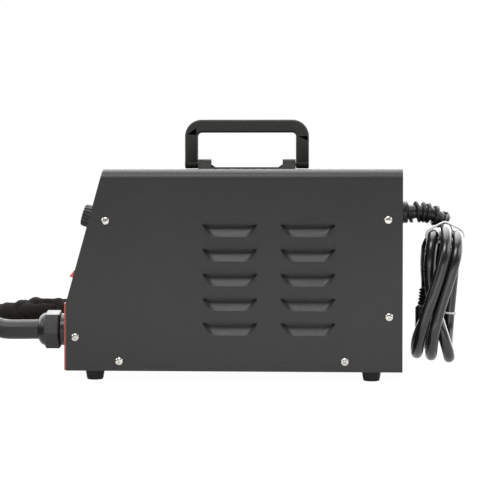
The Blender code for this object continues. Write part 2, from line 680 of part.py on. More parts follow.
def make_front_panel():
    """Moulded front: proud upright lower face, recessed slope, and side flanges for the screws."""
    low = Z_BASE + GAP
    high = Z_TOP - COVER_SHEET - GAP
    turn_up = Z_BREAK - GAP

    def face(depth, start, end):
        """Front face outline moved back by a depth."""
        ledge = turn_up - min(depth, PANEL_WALL)
        return [(X_FRONT + depth, start), (X_FRONT + depth, ledge), (slope_x(turn_up) + depth, ledge),
                (slope_x(turn_up) + depth, turn_up + 0.0001), (slope_x(end) + depth, end)]

    outer = face(0.0, low, high) + face(FRONT_FLANGE, low, high)[::-1]
    # the bend of the cover's top edges passes over the panel's upper corners
    panel = sheet("front_panel", [outer], -Y_INNER, Y_INNER, SIDE_PLANE, RED_PANEL)
    inner = face(PANEL_WALL, low - CUT, high + CUT) + face(FRONT_FLANGE + CUT, low - CUT, high + CUT)[::-1]
    cut(panel, sheet("inside", [inner], -Y_INNER + PANEL_WALL, Y_INNER - PANEL_WALL, SIDE_PLANE, None))
    behind = [(X_FRONT + PANEL_WALL, low - CUT), (X_FRONT + FRONT_FLANGE + CUT, low - CUT),
              (X_FRONT + FRONT_FLANGE + CUT, Z_BASE + FLANGE_START), (X_FRONT + PANEL_WALL, Z_BASE + FLANGE_START)]
    cut(panel, sheet("foot_cut", [behind], -Y_SIDE, Y_SIDE, SIDE_PLANE, None))
    bend = COVER_BEND - COVER_SHEET - GAP
    for side, start in ((1, -6), (-1, 186)):
        end = 90 + side * 6
        corner = arc((side * (Y_INNER - bend), high - bend), bend, start, end, 7)
        corner += [(corner[-1][0], high + CUT), (side * (Y_INNER + CUT), high + CUT), (side * (Y_INNER + CUT), corner[0][1])]
        cut(panel, sheet("bend", [corner], X_FRONT - CUT, X_FRONT + 0.12, CROSS_PLANE, None))

    knob = panel_frame(KNOB_UP, KNOB_Y)
    switch = panel_frame(ROCKER_UP, ROCKER_Y)
    half_x = SWITCH_BODY_WIDTH / 2 + GAP
    half_y = SWITCH_BODY_LENGTH / 2 + GAP
    tools = [rod("hole", along(knob, 0, 0, -3 * CUT), along(knob, 0, 0, CUT), POT_BUSH_DIAMETER / 2 + GAP, 16, None),
             block("hole", (-half_x, -half_y, -3 * CUT), (half_x, half_y, CUT), None, frame=switch),
             rod("hole", (X_FRONT - CUT, GLAND_Y, GLAND_Z), (X_FRONT + 2 * CUT, GLAND_Y, GLAND_Z),
                 GLAND_THREAD_DIAMETER / 2 + GAP, 24, None),
             rod("hole", (X_FRONT - CUT, TORCH_Y, TORCH_Z), (X_FRONT + 2 * CUT, TORCH_Y, TORCH_Z),
                 TORCH_COLLAR_THREAD / 2 + GAP, 24, None)]
    for y in LAMP_Y:
        lamp = panel_frame(LAMP_UP, y)
        tools.append(rod("hole", along(lamp, 0, 0, -3 * CUT), along(lamp, 0, 0, CUT), LAMP_DIAMETER / 2 + GAP, 12, None))
    for x, z in SCREW_PLACES:
        if x < X_FRONT + 0.06 and z > Z_BASE + FLANGE_START:
            tools.append(rod("hole", (x, -Y_SIDE, z), (x, Y_SIDE, z), SCREW_SHANK_DIAMETER / 2 + GAP, 12, None))
    return cut(panel, *tools)


def slot_outline(middle_y, middle_z, half, thickness, steps=4):
    """Level slot with round ends."""
    radius = thickness / 2
    return (arc((middle_y + half - radius, middle_z), radius, -90, 90, steps)
            + arc((middle_y - half + radius, middle_z), radius, 90, 270, steps))


def circle_outline(middle_y, middle_z, radius, steps):
    """Points of a circle."""
    return [(middle_y + radius * math.cos(math.tau * i / steps), middle_z + radius * math.sin(math.tau * i / steps))
            for i in range(steps)]


def make_rear_panel():
    """Steel plate with a slotted fan opening, the cord's and the air inlet's holes, and side flanges."""
    low = Z_BASE + GAP
    outline = u_outline(Y_INNER, Z_TOP - COVER_SHEET - GAP, COVER_BEND - COVER_SHEET - GAP, low)
    slots = []
    reach = FAN_BORE / 2
    for row in range(-4, 5):
        height = row * 0.0095
        half = math.sqrt(reach ** 2 - (abs(height) + 0.0025) ** 2)
        slots.append(slot_outline(0.0, FAN_Z + height, half, 0.0055))
    holes = [circle_outline(0.0, MAINS_Z, RELIEF_NECK / 2 + GAP, 20),
             circle_outline(VALVE_Y, VALVE_Z, VALVE_NECK / 2 + GAP, 16)]
    panel = sheet("rear_panel", [outline, *slots, *holes], X_REAR_INNER, X_REAR_FACE, CROSS_PLANE, POWDER_COAT)
    top = Z_TOP - COVER_BEND - 0.004
    for side in (-1, 1):
        near = side * (Y_INNER - REAR_SHEET)
        far = side * Y_INNER
        fuse(panel, block("flange", (X_REAR_FACE - REAR_FLANGE, min(near, far), Z_BASE + FLANGE_START),
                          (X_REAR_INNER + REAR_SHEET / 2, max(near, far), top), None))
    cut(panel, *[rod("hole", (x, -Y_SIDE, z), (x, Y_SIDE, z), SCREW_SHANK_DIAMETER / 2 + GAP, 12, None)
                 for x, z in SCREW_PLACES if x > X_REAR - REAR_FLANGE])
    return panel


def make_feet():
    """Four rubber feet, each pressed into the pan by its stud."""
    top = FOOT_HEIGHT - GAP
    stud = FOOT_STUD_DIAMETER / 2
    profile = [(0.0, Z_PAN_FLOOR + FOOT_STUD_ABOVE), (stud, Z_PAN_FLOOR + FOOT_STUD_ABOVE), (stud, top),
               (FOOT_TOP_DIAMETER / 2, top), (FOOT_TIP_DIAMETER / 2, FOOT_ROUNDING),
               (FOOT_TIP_DIAMETER / 2 - FOOT_ROUNDING * 0.3, FOOT_ROUNDING * 0.3),
               (FOOT_TIP_DIAMETER / 2 - FOOT_ROUNDING, 0.0), (0.0, 0.0)]
    for x, end in zip(FOOT_X, ("front", "rear")):
        for y, side in ((-FOOT_Y, "near"), (FOOT_Y, "far")):
            soften(turned(f"foot_{end}_{side}", profile, 16, Matrix.Translation((x, y, 0.0)), RUBBER))


# ---- folding handle --------------------------------------------------------------------------------
HINGE_Z = Z_TOP + HINGE_RISE
LEG_MIDDLE = HANDLE_SPAN / 2 - HANDLE_BAR / 2
LUG_OUTER = HANDLE_SPAN / 2 - HANDLE_BAR - 0.0005


def make_handle():
    """Hinge base with two lugs on the case, the U-shaped grip and the two pins."""
    half = HANDLE_SPAN / 2
    top = Z_TOP + HANDLE_RISE
    inner = HANDLE_CORNER - HANDLE_BAR
    left, right = HANDLE_X - half, HANDLE_X + half
    outline = [(left, HINGE_Z), *arc((left + HANDLE_CORNER, top - HANDLE_CORNER), HANDLE_CORNER, 180, 90, 6),
               *arc((right - HANDLE_CORNER, top - HANDLE_CORNER), HANDLE_CORNER, 90, 0, 6), (right, HINGE_Z),
               (right - HANDLE_BAR, HINGE_Z),
               *arc((right - HANDLE_CORNER, top - HANDLE_CORNER), inner, 0, 90, 4),
               *arc((left + HANDLE_CORNER, top - HANDLE_CORNER), inner, 90, 180, 4), (left + HANDLE_BAR, HINGE_Z)]
    half_thick = HANDLE_THICKNESS / 2
    grip = sheet("handle_grip", [outline], -half_thick, half_thick, SIDE_PLANE, BLACK_PLASTIC)
    bevel = grip.modifiers.new("edge", "BEVEL")
    bevel.width = HANDLE_EDGE
    bevel.segments = 2
    bevel.limit_method = "ANGLE"
    bevel.angle_limit = math.radians(60)
    bake(grip)
    for side in (-1, 1):
        middle = HANDLE_X + side * LEG_MIDDLE
        fuse(grip, rod("end", (middle - HANDLE_BAR / 2 + 0.0001, 0.0, HINGE_Z), (middle + HANDLE_BAR / 2 - 0.0001, 0.0, HINGE_Z),
                       half_thick - 0.0001, 20, None))
    pin_hole = HINGE_PIN_DIAMETER / 2 + GAP
    cut(grip, rod("bore", (left - CUT, 0.0, HINGE_Z), (right + CUT, 0.0, HINGE_Z), pin_hole, 16, None))
    set_origin(grip, (HANDLE_X, 0.0, HINGE_Z))
    soften(grip)

    plate_low = Z_TOP + GAP
    plate_high = plate_low + HINGE_BASE_SHEET
    base = block("handle_base", (HANDLE_X - LUG_OUTER, -HINGE_BASE_WIDTH / 2, plate_low),
                 (HANDLE_X + LUG_OUTER, HINGE_BASE_WIDTH / 2, plate_high), BLACK_PLASTIC, 0.0006, 1)
    radius = LUG_DIAMETER / 2
    for side in (-1, 1):
        outer = HANDLE_X + side * LUG_OUTER
        inner_end = outer - side * LUG_LENGTH
        ear = ([(-HINGE_BASE_WIDTH * 0.36, plate_low + 0.001), (-radius, HINGE_Z)]
               + arc((0.0, HINGE_Z), radius, 165, 15, 7)
               + [(radius, HINGE_Z), (HINGE_BASE_WIDTH * 0.36, plate_low + 0.001)])
        fuse(base, sheet("lug", [ear], min(outer, inner_end), max(outer, inner_end), CROSS_PLANE, None))
        flare = [(inner_end + side * 0.002, plate_low + 0.001), (inner_end + side * 0.002, HINGE_Z),
                 (inner_end, HINGE_Z - 0.001), (inner_end - side * LUG_FLARE * 0.35, plate_high + 0.002),
                 (inner_end - side * LUG_FLARE, plate_low + 0.001)]
        fuse(base, sheet("flare", [flare], -radius * 0.9, radius * 0.9, SIDE_PLANE, None))
    cut(base, rod("bore", (left, 0.0, HINGE_Z), (right, 0.0, HINGE_Z), pin_hole, 16, None))
    soften(base)
    for side, name in ((-1, "front"), (1, "rear")):
        outer = HANDLE_X + side * (half - 0.0006)
        inner_end = HANDLE_X + side * (LUG_OUTER - LUG_LENGTH + 0.0008)
        soften(rod(f"handle_pin_{name}", (outer, 0.0, HINGE_Z), (inner_end, 0.0, HINGE_Z),
                   HINGE_PIN_DIAMETER / 2, 16, ZINC_STEEL))


# ---- controls on the slope -------------------------------------------------------------------------
def make_current_knob():
    """Fluted knob on a potentiometer whose shaft comes through the panel."""
    frame = panel_frame(KNOB_UP, KNOB_Y)
    radius = KNOB_DIAMETER / 2
    top = KNOB_SKIRT_GAP + KNOB_HEIGHT
    bore = POT_SHAFT_DIAMETER / 2 + GAP
    roof = KNOB_SKIRT_GAP + KNOB_BORE_DEPTH
    profile = [(0.0, top), (radius * 0.72, top), (radius * 0.88, top - 0.0008), (radius * 0.93, top - 0.0022),
               (radius, KNOB_SKIRT_GAP + 0.001), (radius * 0.97, KNOB_SKIRT_GAP), (bore, KNOB_SKIRT_GAP),
               (bore, roof), (0.0, roof)]
    knob = turned("current_knob", profile, 36, frame, BLACK_PLASTIC)
    flutes = []
    for i in range(KNOB_FLUTES):
        angle = math.tau * (i + 0.5) / KNOB_FLUTES
        x, y = math.cos(angle), math.sin(angle)
        lean = radius * 1.03
        flutes.append(rod("flute", along(frame, x * lean, y * lean, KNOB_SKIRT_GAP - 0.001),
                          along(frame, x * lean * 0.94, y * lean * 0.94, top + 0.001), KNOB_FLUTE_DIAMETER / 2, 6, None))
    cut(knob, *flutes)
    soften(knob)

    shaft = POT_SHAFT_DIAMETER / 2
    bush = POT_BUSH_DIAMETER / 2
    body = POT_BODY_DIAMETER / 2
    behind = -PANEL_WALL - GAP
    reach = roof - 0.0005
    profile = [(0.0, reach), (shaft, reach), (shaft, 0.0), (bush, 0.0), (bush, behind), (body, behind),
               (body, behind - POT_BODY_LENGTH), (0.0, behind - POT_BODY_LENGTH)]
    soften(turned("potentiometer", profile, 16, frame, ZINC_STEEL))


def make_power_switch():
    """Rocker switch: bezel and body in the panel, and the red rocker, shown with its lower end out."""
    frame = panel_frame(ROCKER_UP, ROCKER_Y)
    bezel_x, bezel_y = SWITCH_BEZEL_WIDTH / 2, SWITCH_BEZEL_LENGTH / 2
    body_x, body_y = SWITCH_BODY_WIDTH / 2, SWITCH_BODY_LENGTH / 2
    face = GAP + SWITCH_BEZEL_HEIGHT
    housing = block("switch_housing", (-bezel_x, -bezel_y, GAP), (bezel_x, bezel_y, face), BLACK_PLASTIC,
                    0.0007, 1, frame=frame)
    fuse(housing, block("body", (-body_x, -body_y, -SWITCH_BODY_DEPTH), (body_x, body_y, GAP + 0.001), None, frame=frame))
    well_x = ROCKER_WIDTH / 2 + 0.0005
    well_y = ROCKER_LENGTH / 2 + 0.0009
    cut(housing, block("well", (-well_x, -well_y, face - SWITCH_WELL_DEPTH), (well_x, well_y, face + CUT), None, frame=frame))

    half = ROCKER_LENGTH / 2
    pivot = face - ROCKER_PIVOT_DEPTH
    rise = half * math.tan(ROCKER_DISH)
    skirt = half * 0.96
    outline = [(-half, rise), (0.0, 0.0), (half, rise), (skirt, -ROCKER_DROP * 0.4), (half * 0.45, -ROCKER_DROP),
               (-half * 0.45, -ROCKER_DROP), (-skirt, -ROCKER_DROP * 0.4)]
    outline = [(across, up + ROCKER_PIVOT_DEPTH + 0.0004) for across, up in outline]
    pivot_frame = frame @ Matrix.Translation((0.0, 0.0, pivot)) @ Matrix.Rotation(-ROCKER_TILT, 4, "X")
    level = Matrix(((0, 0, 1, 0), (1, 0, 0, 0), (0, 1, 0, 0), (0, 0, 0, 1)))
    rocker = sheet("switch_rocker", [outline], -ROCKER_WIDTH / 2, ROCKER_WIDTH / 2, pivot_frame @ level, RED_LENS)
    set_origin(rocker, pivot_frame.translation)


def make_lamps():
    """Power and fault lamps beside the knob."""
    for number, y in enumerate(LAMP_Y, 1):
        frame = panel_frame(LAMP_UP, y)
        radius, flange = LAMP_DIAMETER / 2, LAMP_FLANGE_DIAMETER / 2
        profile = [(0.0, 0.0036), (radius * 0.6, 0.0031), (radius * 0.9, 0.0018), (flange, 0.0012), (flange, GAP),
                   (radius, GAP), (radius, -LAMP_BODY_LENGTH), (0.0, -LAMP_BODY_LENGTH)]
        soften(turned(f"lamp_{number}", profile, 16, frame, RED_LENS))


# ---- earth lead ------------------------------------------------------------------------------------
def facing_front(y, z):
    """Frame on the lower front face, local Z pointing out of it."""
    return frame_at((X_FRONT, y, z), (-1.0, 0.0, 0.0))


def make_gland():
    """Cable gland: body through the panel with its inner locknut, and the domed hexagon nut."""
    frame = facing_front(GLAND_Y, GLAND_Z)
    bore = EARTH_LEAD_DIAMETER / 2 + GAP
    thread = GLAND_THREAD_DIAMETER / 2
    collar = GLAND_COLLAR_DIAMETER / 2
    inside = -PANEL_WALL - GAP
    core = bore + GLAND_TUBE_WALL
    profile = [(core, GLAND_COLLAR_LENGTH + 0.012), (core, GLAND_COLLAR_LENGTH), (collar, GLAND_COLLAR_LENGTH),
               (collar, GAP), (thread, GAP), (thread, inside), (collar, inside), (collar, inside - 0.005),
               (thread, inside - 0.005), (thread, inside - 0.009), (bore, inside - 0.009),
               (bore, GLAND_COLLAR_LENGTH + 0.012)]
    soften(turned("gland_body", profile, 24, frame, GLAND_NYLON, ring=True))

    start = GLAND_COLLAR_LENGTH + GAP
    end = start + GLAND_NUT_LENGTH
    corner = GLAND_NUT_FLATS / 2 / math.cos(math.pi / 6)
    nut = rod("gland_nut", along(frame, 0, 0, start), along(frame, 0, 0, end), corner, 6, GLAND_NYLON,
              turn=GLAND_NUT_TURN)
    dome = GLAND_DOME_DIAMETER / 2
    tip = end + GLAND_DOME_LENGTH
    profile = [(0.0, tip), (dome * 0.62, tip), (dome * 0.80, tip - GLAND_DOME_LENGTH * 0.22),
               (dome * 0.94, tip - GLAND_DOME_LENGTH * 0.56), (dome, end), (dome * 0.9, end - 0.002), (0.0, end - 0.002)]
    fuse(nut, turned("dome", profile, 24, frame, None))
    cut(nut, rod("bore", along(frame, 0, 0, start + 0.0125), along(frame, 0, 0, tip + CUT), bore, 24, None),
        )
    cut(nut, rod("socket", along(frame, 0, 0, start - CUT), along(frame, 0, 0, start + 0.0127), core + GAP, 24, None))
    soften(nut)
    return along(frame, 0, 0, tip)


def lead(name, knots, diameter, material, resolution=3, spacing=2.2):
    """Free stretch of a lead: a tube along a smooth curve through chosen points."""
    points = smooth_route(knots, spacing * diameter)
    soften(tube(name, points, diameter / 2, material, resolution), 50)
    return path_length(points)


def coil(name, points, diameter, material):
    """Wound lead with straight ends, which prints its least gap to itself."""
    whole = straight_ends(points, diameter)
    gap = least_self_gap(whole, diameter, 3 * diameter)
    print(f"{name}: least gap to itself {gap * 1000:.2f} mm, length {path_length(whole):.3f} m")
    soften(tube(name, whole, diameter / 2, material, 1), 60)
    return whole


def make_earth_lead():
    """Rubber lead from the gland to the floor, its coil, its tail and the spring clamp."""
    tip = X_FRONT - GLAND_COLLAR_LENGTH - GAP - GLAND_NUT_LENGTH - GLAND_DOME_LENGTH
    diameter = EARTH_LEAD_DIAMETER
    lift = 2 * TORCH_LEAD_DIAMETER + 0.0012 + 2 * FLOOR_GAP
    turns = coil_points(COIL_MIDDLE, EARTH_COIL_RADIUS, diameter, EARTH_COIL_TURNS, math.pi / 2, 1, lift=lift)
    whole = coil("earth_lead_coil", turns, diameter, LEAD_JACKET)
    head = whole[0] + (whole[0] - whole[1]).normalized() * GAP
    inner_start = (X_FRONT + 0.0130, GLAND_Y, GLAND_Z)
    knots = [inner_start, (tip, GLAND_Y, GLAND_Z), (X_FRONT - 0.0580, GLAND_Y, 0.0546), (X_FRONT - 0.0750, GLAND_Y, 0.0560),
             (X_FRONT - 0.0980, -0.0388, 0.0628), (X_FRONT - 0.1130, -0.0360, 0.0682), (X_FRONT - 0.1330, -0.0305, 0.0722),
             (X_FRONT - 0.1530, -0.0240, 0.0727), (X_FRONT - 0.1730, -0.0176, 0.0721), (X_FRONT - 0.2030, -0.0103, 0.0713),
             head + (head - whole[1]).normalized() * diameter * 0.8, head]
    print(f"earth_lead: {lead('earth_lead', knots, diameter, LEAD_JACKET):.3f} m")
    out = whole[-1] + (whole[-1] - whole[-2]).normalized() * GAP
    way = flat(whole[-1] - whole[-2])
    rest = lift + FLOOR_GAP + 0.0174
    knots = [out]
    for distance, height in ((0.010, 0.0168), (0.028, 0.0150), (0.040, 0.0128), (0.056, 0.0080), (0.074, 0.0022),
                             (0.086, 0.0001), (0.094, 0.0), (0.102, 0.0)):
        knots.append(Vector((out.x, out.y, rest + height)) + way * distance)
    print(f"earth_lead_tail: {lead('earth_lead_tail', knots, diameter, LEAD_JACKET):.3f} m")
    make_clamp(knots[-1] + way * GAP, way)


def make_clamp(start, way):
    """Spring clamp lying flat: two arms on a pin, with a coil spring round the pin between their ears."""
    frame = frame_at((start.x, start.y, 0.0), (0.0, 0.0, 1.0), Vector((-way.y, way.x, 0.0)))
    # local X runs along the clamp from the lead, local Y across it, local Z up
    low = start.z - CLAMP_THICKNESS / 2
    high = low + CLAMP_THICKNESS
    pivot = CLAMP_PIVOT_AT
    length = CLAMP_LENGTH
    half = CLAMP_SHEET / 2

    def arm(name, side, bottom, top):
        """Plate arm: handle leaning outwards, ear round the pin, jaw coming back to the middle."""
        handle_out = 0.0165 if side < 0 else 0.0385
        outer = [(0.004, handle_out + half), (pivot - 0.020, 0.0130), (pivot + 0.006, 0.0115),
                 (pivot + 0.030, 0.0170), (length - 0.016, 0.0130), (length, 0.0030)]
        inner = [(length, 0.0006), (length - 0.012, 0.0006), (length - 0.020, 0.0085), (pivot + 0.030, 0.0120),
                 (pivot + 0.010, 0.0075), (pivot + 0.0065, 0.0)]
        ear = arc((pivot, 0.0), 0.0065, 0, -180, 9)[1:]
        back = [(pivot - 0.0065, 0.0060), (pivot - 0.022, 0.0085), (0.004, handle_out - half)]
        outline = [(x, side * y) for x, y in outer + inner + ear + back]
        return sheet(name, [outline], bottom, top, frame, ZINC_STEEL)

    # the ears of the two arms lie beside each other on the pin: one outside, one inside
    lower = arm("clamp_fixed_arm", -1, low, high)
    cut(lower, block("fork", (pivot - 0.0105, -0.0074, low + CLAMP_EAR), (pivot + 0.0105, 0.0200, high - CLAMP_EAR), None,
                     frame=frame))
    upper = arm("clamp_moving_arm", 1, low, high)
    keep = CLAMP_EAR + 0.0004
    cut(upper, block("relief_low", (pivot - 0.0105, -0.0200, low - CUT), (pivot + 0.0105, 0.0074, low + keep), None, frame=frame),
        block("relief_high", (pivot - 0.0105, -0.0200, high - keep), (pivot + 0.0105, 0.0074, high + CUT), None, frame=frame),
        block("spring_room", (pivot - 0.0105, -0.0200, low + keep + CLAMP_EAR),
              (pivot + 0.0105, 0.0074, high - keep - CLAMP_EAR), None, frame=frame))
    # the lead's crimp barrel is part of the fixed arm
    barrel = EARTH_LEAD_DIAMETER / 2
    fuse(lower, block("crimp", (0.0, -barrel - 0.0060, low + 0.0001), (0.0200, barrel, high - 0.0001), None, 0.0015, 1,
                      frame=frame))
    bore = CLAMP_PIN_DIAMETER / 2 + GAP
    for piece in (lower, upper):
        cut(piece, rod("bore", along(frame, pivot, 0, -CUT), along(frame, pivot, 0, high + CUT), bore, 12, None))
    set_origin(upper, along(frame, pivot, 0, (low + high) / 2))
    soften(rod("clamp_pin", along(frame, pivot, 0, low - 0.0006), along(frame, pivot, 0, high + 0.0006),
               CLAMP_PIN_DIAMETER / 2, 12, ZINC_STEEL))

    wire = CLAMP_SPRING_WIRE
    radius = CLAMP_PIN_DIAMETER / 2 + wire / 2 + 0.0005
    room = CLAMP_THICKNESS - 2 * (keep + CLAMP_EAR) - wire - 2 * GAP
    points = []
    count = 9 * CLAMP_SPRING_CURLS
    for i in range(count + 1):
        angle = math.tau * i / 9
        height = (low + high) / 2 - room / 2 + room * i / count
        points.append(along(frame, pivot + radius * math.cos(angle), radius * math.sin(angle), height))
    gap = least_self_gap(points, wire, 4 * wire)
    print(f"clamp_spring: least gap to itself {gap * 1000:.2f} mm")
    soften(tube("clamp_spring", points, wire / 2, ZINC_STEEL, 1), 60)


# ---- torch lead ------------------------------------------------------------------------------------
def make_torch_collar():
    """Collar that clamps the sleeved lead at the panel."""
    frame = facing_front(TORCH_Y, TORCH_Z)
    thread = TORCH_COLLAR_THREAD / 2
    radius = TORCH_COLLAR_DIAMETER / 2
    inside = -PANEL_WALL - GAP
    profile = [(0.0, TORCH_COLLAR_LENGTH), (radius * 0.94, TORCH_COLLAR_LENGTH), (radius, TORCH_COLLAR_LENGTH - 0.001),
               (radius, GAP), (thread, GAP), (thread, inside), (radius * 0.84, inside), (radius * 0.84, inside - 0.005),
               (thread, inside - 0.005), (thread, inside - 0.010), (0.0, inside - 0.010)]
    soften(turned("torch_collar", profile, 24, frame, GLAND_NYLON))


def make_torch_lead():
    """Sleeved lead from its collar to the floor, its coil, its tail and the torch."""
    diameter = TORCH_LEAD_DIAMETER
    turns = coil_points(COIL_MIDDLE, TORCH_COIL_RADIUS, diameter, TORCH_COIL_TURNS, math.pi / 2, 1)
    whole = coil("torch_lead_coil", turns, diameter, SLEEVE_CLOTH)
    head = whole[0] + (whole[0] - whole[1]).normalized() * GAP
    start = X_FRONT - TORCH_COLLAR_LENGTH - GAP
    knots = [(start, TORCH_Y, TORCH_Z), (X_FRONT - 0.0330, TORCH_Y, 0.0702), (X_FRONT - 0.0630, TORCH_Y, 0.0690),
             (X_FRONT - 0.0930, 0.0394, 0.0625), (X_FRONT - 0.1230, 0.0384, 0.0508), (X_FRONT - 0.1530, 0.0370, 0.0380),
             (X_FRONT - 0.1830, 0.0352, 0.0262), (X_FRONT - 0.2030, 0.0336, 0.0193),
             head + (head - whole[1]).normalized() * diameter * 0.72 + Vector((0.0, 0.0, 0.0004)),
             head + (head - whole[1]).normalized() * diameter * 0.25, head]
    print(f"torch_lead: {lead('torch_lead', knots, diameter, SLEEVE_CLOTH):.3f} m")
    out = whole[-1] + (whole[-1] - whole[-2]).normalized() * GAP
    way = flat(whole[-1] - whole[-2])
    knots = [out, *(out + way * distance + Vector((0.0, 0.0, rise))
                    for distance, rise in ((0.006, 0.0), (0.0125, 0.0006), (0.019, 0.0012), (0.025, 0.0012)))]
    print(f"torch_lead_tail: {lead('torch_lead_tail', knots, diameter, SLEEVE_CLOTH, spacing=0.3):.3f} m")
    make_torch(knots[-1] + way * GAP, way)


def make_torch(start, way):
    """Torch lying on its side on the coil: handle, bent head, cup and trigger, with the head towards the near side."""
    frame = frame_at(start, (0.0, 0.0, 1.0), Vector((-way.y, way.x, 0.0)))
    # local X runs along the handle from the lead, local Y to the head's side, local Z up
    radius = TORCH_HANDLE_DIAMETER / 2
    length = TORCH_HANDLE_LENGTH
    spin = frame @ frame_at((0.0, 0.0, 0.0), (1.0, 0.0, 0.0), (0.0, 0.0, 1.0))
    profile = [(0.0, length), (radius * 0.62, length), (radius * 0.74, length - 0.004), (radius * 0.86, length - 0.030),
               (radius * 0.84, length * 0.5), (radius * 0.98, 0.020), (radius * 0.96, 0.003), (radius * 0.88, 0.0), (0.0, 0.0)]
    handle = turned("torch_handle", profile, 20, spin, BLACK_PLASTIC)
    hinge_x = length - 0.028
    trigger_low = radius * 0.50
    slot_half = TRIGGER_WIDTH / 2 + 0.0005
    cut(handle, block("slot", (hinge_x - TRIGGER_LENGTH - 0.0008, trigger_low, -slot_half),
                      (hinge_x + 0.0040, radius * 2, slot_half), None, frame=frame))
    head_start = length + GAP
    neck = TORCH_HEAD_DIAMETER / 2
    centre = Vector((head_start + 0.014, TORCH_HEAD_BEND, 0.0))
    steps = 8
    path = [Vector((head_start, 0.0, 0.0)), Vector((head_start + 0.007, 0.0, 0.0))]
    for i in range(steps + 1):
        angle = TORCH_HEAD_ANGLE * i / steps
        path.append(centre + Vector((TORCH_HEAD_BEND * math.sin(angle), -TORCH_HEAD_BEND * math.cos(angle), 0.0)))
    out = Vector((math.cos(TORCH_HEAD_ANGLE), math.sin(TORCH_HEAD_ANGLE), 0.0))
    path.append(path[-1] + out * TORCH_HEAD_REACH * 0.4)
    head = tube("torch_head", [frame @ point for point in path], neck, BLACK_PLASTIC, 2)
    soften(head, 50)
    base = path[-1] + out * GAP
    cup_frame = frame @ frame_at(base, out, (0.0, 0.0, 1.0))
    cup = TORCH_CUP_DIAMETER / 2
    reach = TORCH_CUP_LENGTH
    profile = [(0.0, reach + 0.003), (0.003, reach + 0.003), (0.0035, reach), (cup * 0.55, reach), (cup * 0.66, reach * 0.9),
               (cup * 0.95, reach * 0.45), (cup, reach * 0.25), (cup, 0.0), (0.0, 0.0)]
    soften(turned("torch_cup", profile, 20, cup_frame, CERAMIC))

    # the trigger turns about its front end and stands proud of the handle at its rear end
    outline = [(hinge_x + 0.0028, trigger_low + 0.0034), (hinge_x + 0.0028, trigger_low + 0.0060),
               (hinge_x - 0.004, radius * 0.98), (hinge_x - TRIGGER_LENGTH * 0.6, radius + TRIGGER_PROUD * 0.7),
               (hinge_x - TRIGGER_LENGTH, radius + TRIGGER_PROUD), (hinge_x - TRIGGER_LENGTH, trigger_low + 0.0048),
               (hinge_x - 0.004, trigger_low + 0.0008)]
    trigger = sheet("torch_trigger", [outline], -TRIGGER_WIDTH / 2, TRIGGER_WIDTH / 2, frame, RED_LENS)
    set_origin(trigger, along(frame, hinge_x, trigger_low + 0.0030, 0.0))
    print("torch trigger axis at", tuple(round(v, 6) for v in along(frame, hinge_x, trigger_low + 0.0030, 0.0)))


# ---- mains lead ------------------------------------------------------------------------------------
RELIEF_NECK = 0.0170
VALVE_NECK = 0.0130
X_COLLAR = X_REAR_FACE + GAP
CORD_KNOTS = ((X_COLLAR - 0.0080, 0.0, MAINS_Z), (X_COLLAR, 0.0, MAINS_Z), (X_COLLAR + 0.0090, 0.0, MAINS_Z),
              (X_REAR + 0.0170, 0.0, 0.1869), (X_REAR + 0.0270, 0.0, 0.1863), (X_REAR + 0.0362, 0.0005, 0.1839), (X_REAR + 0.0440, 0.0022, 0.1794),
              (X_REAR + 0.0502, 0.0060, 0.1732), (X_REAR + 0.0538, 0.0125, 0.1655), (X_REAR + 0.0554, 0.0205, 0.1560),
              (X_REAR + 0.0550, 0.0285, 0.1450))
RELIEF_END = 0.0520            # length of cord inside the strain relief, from the panel


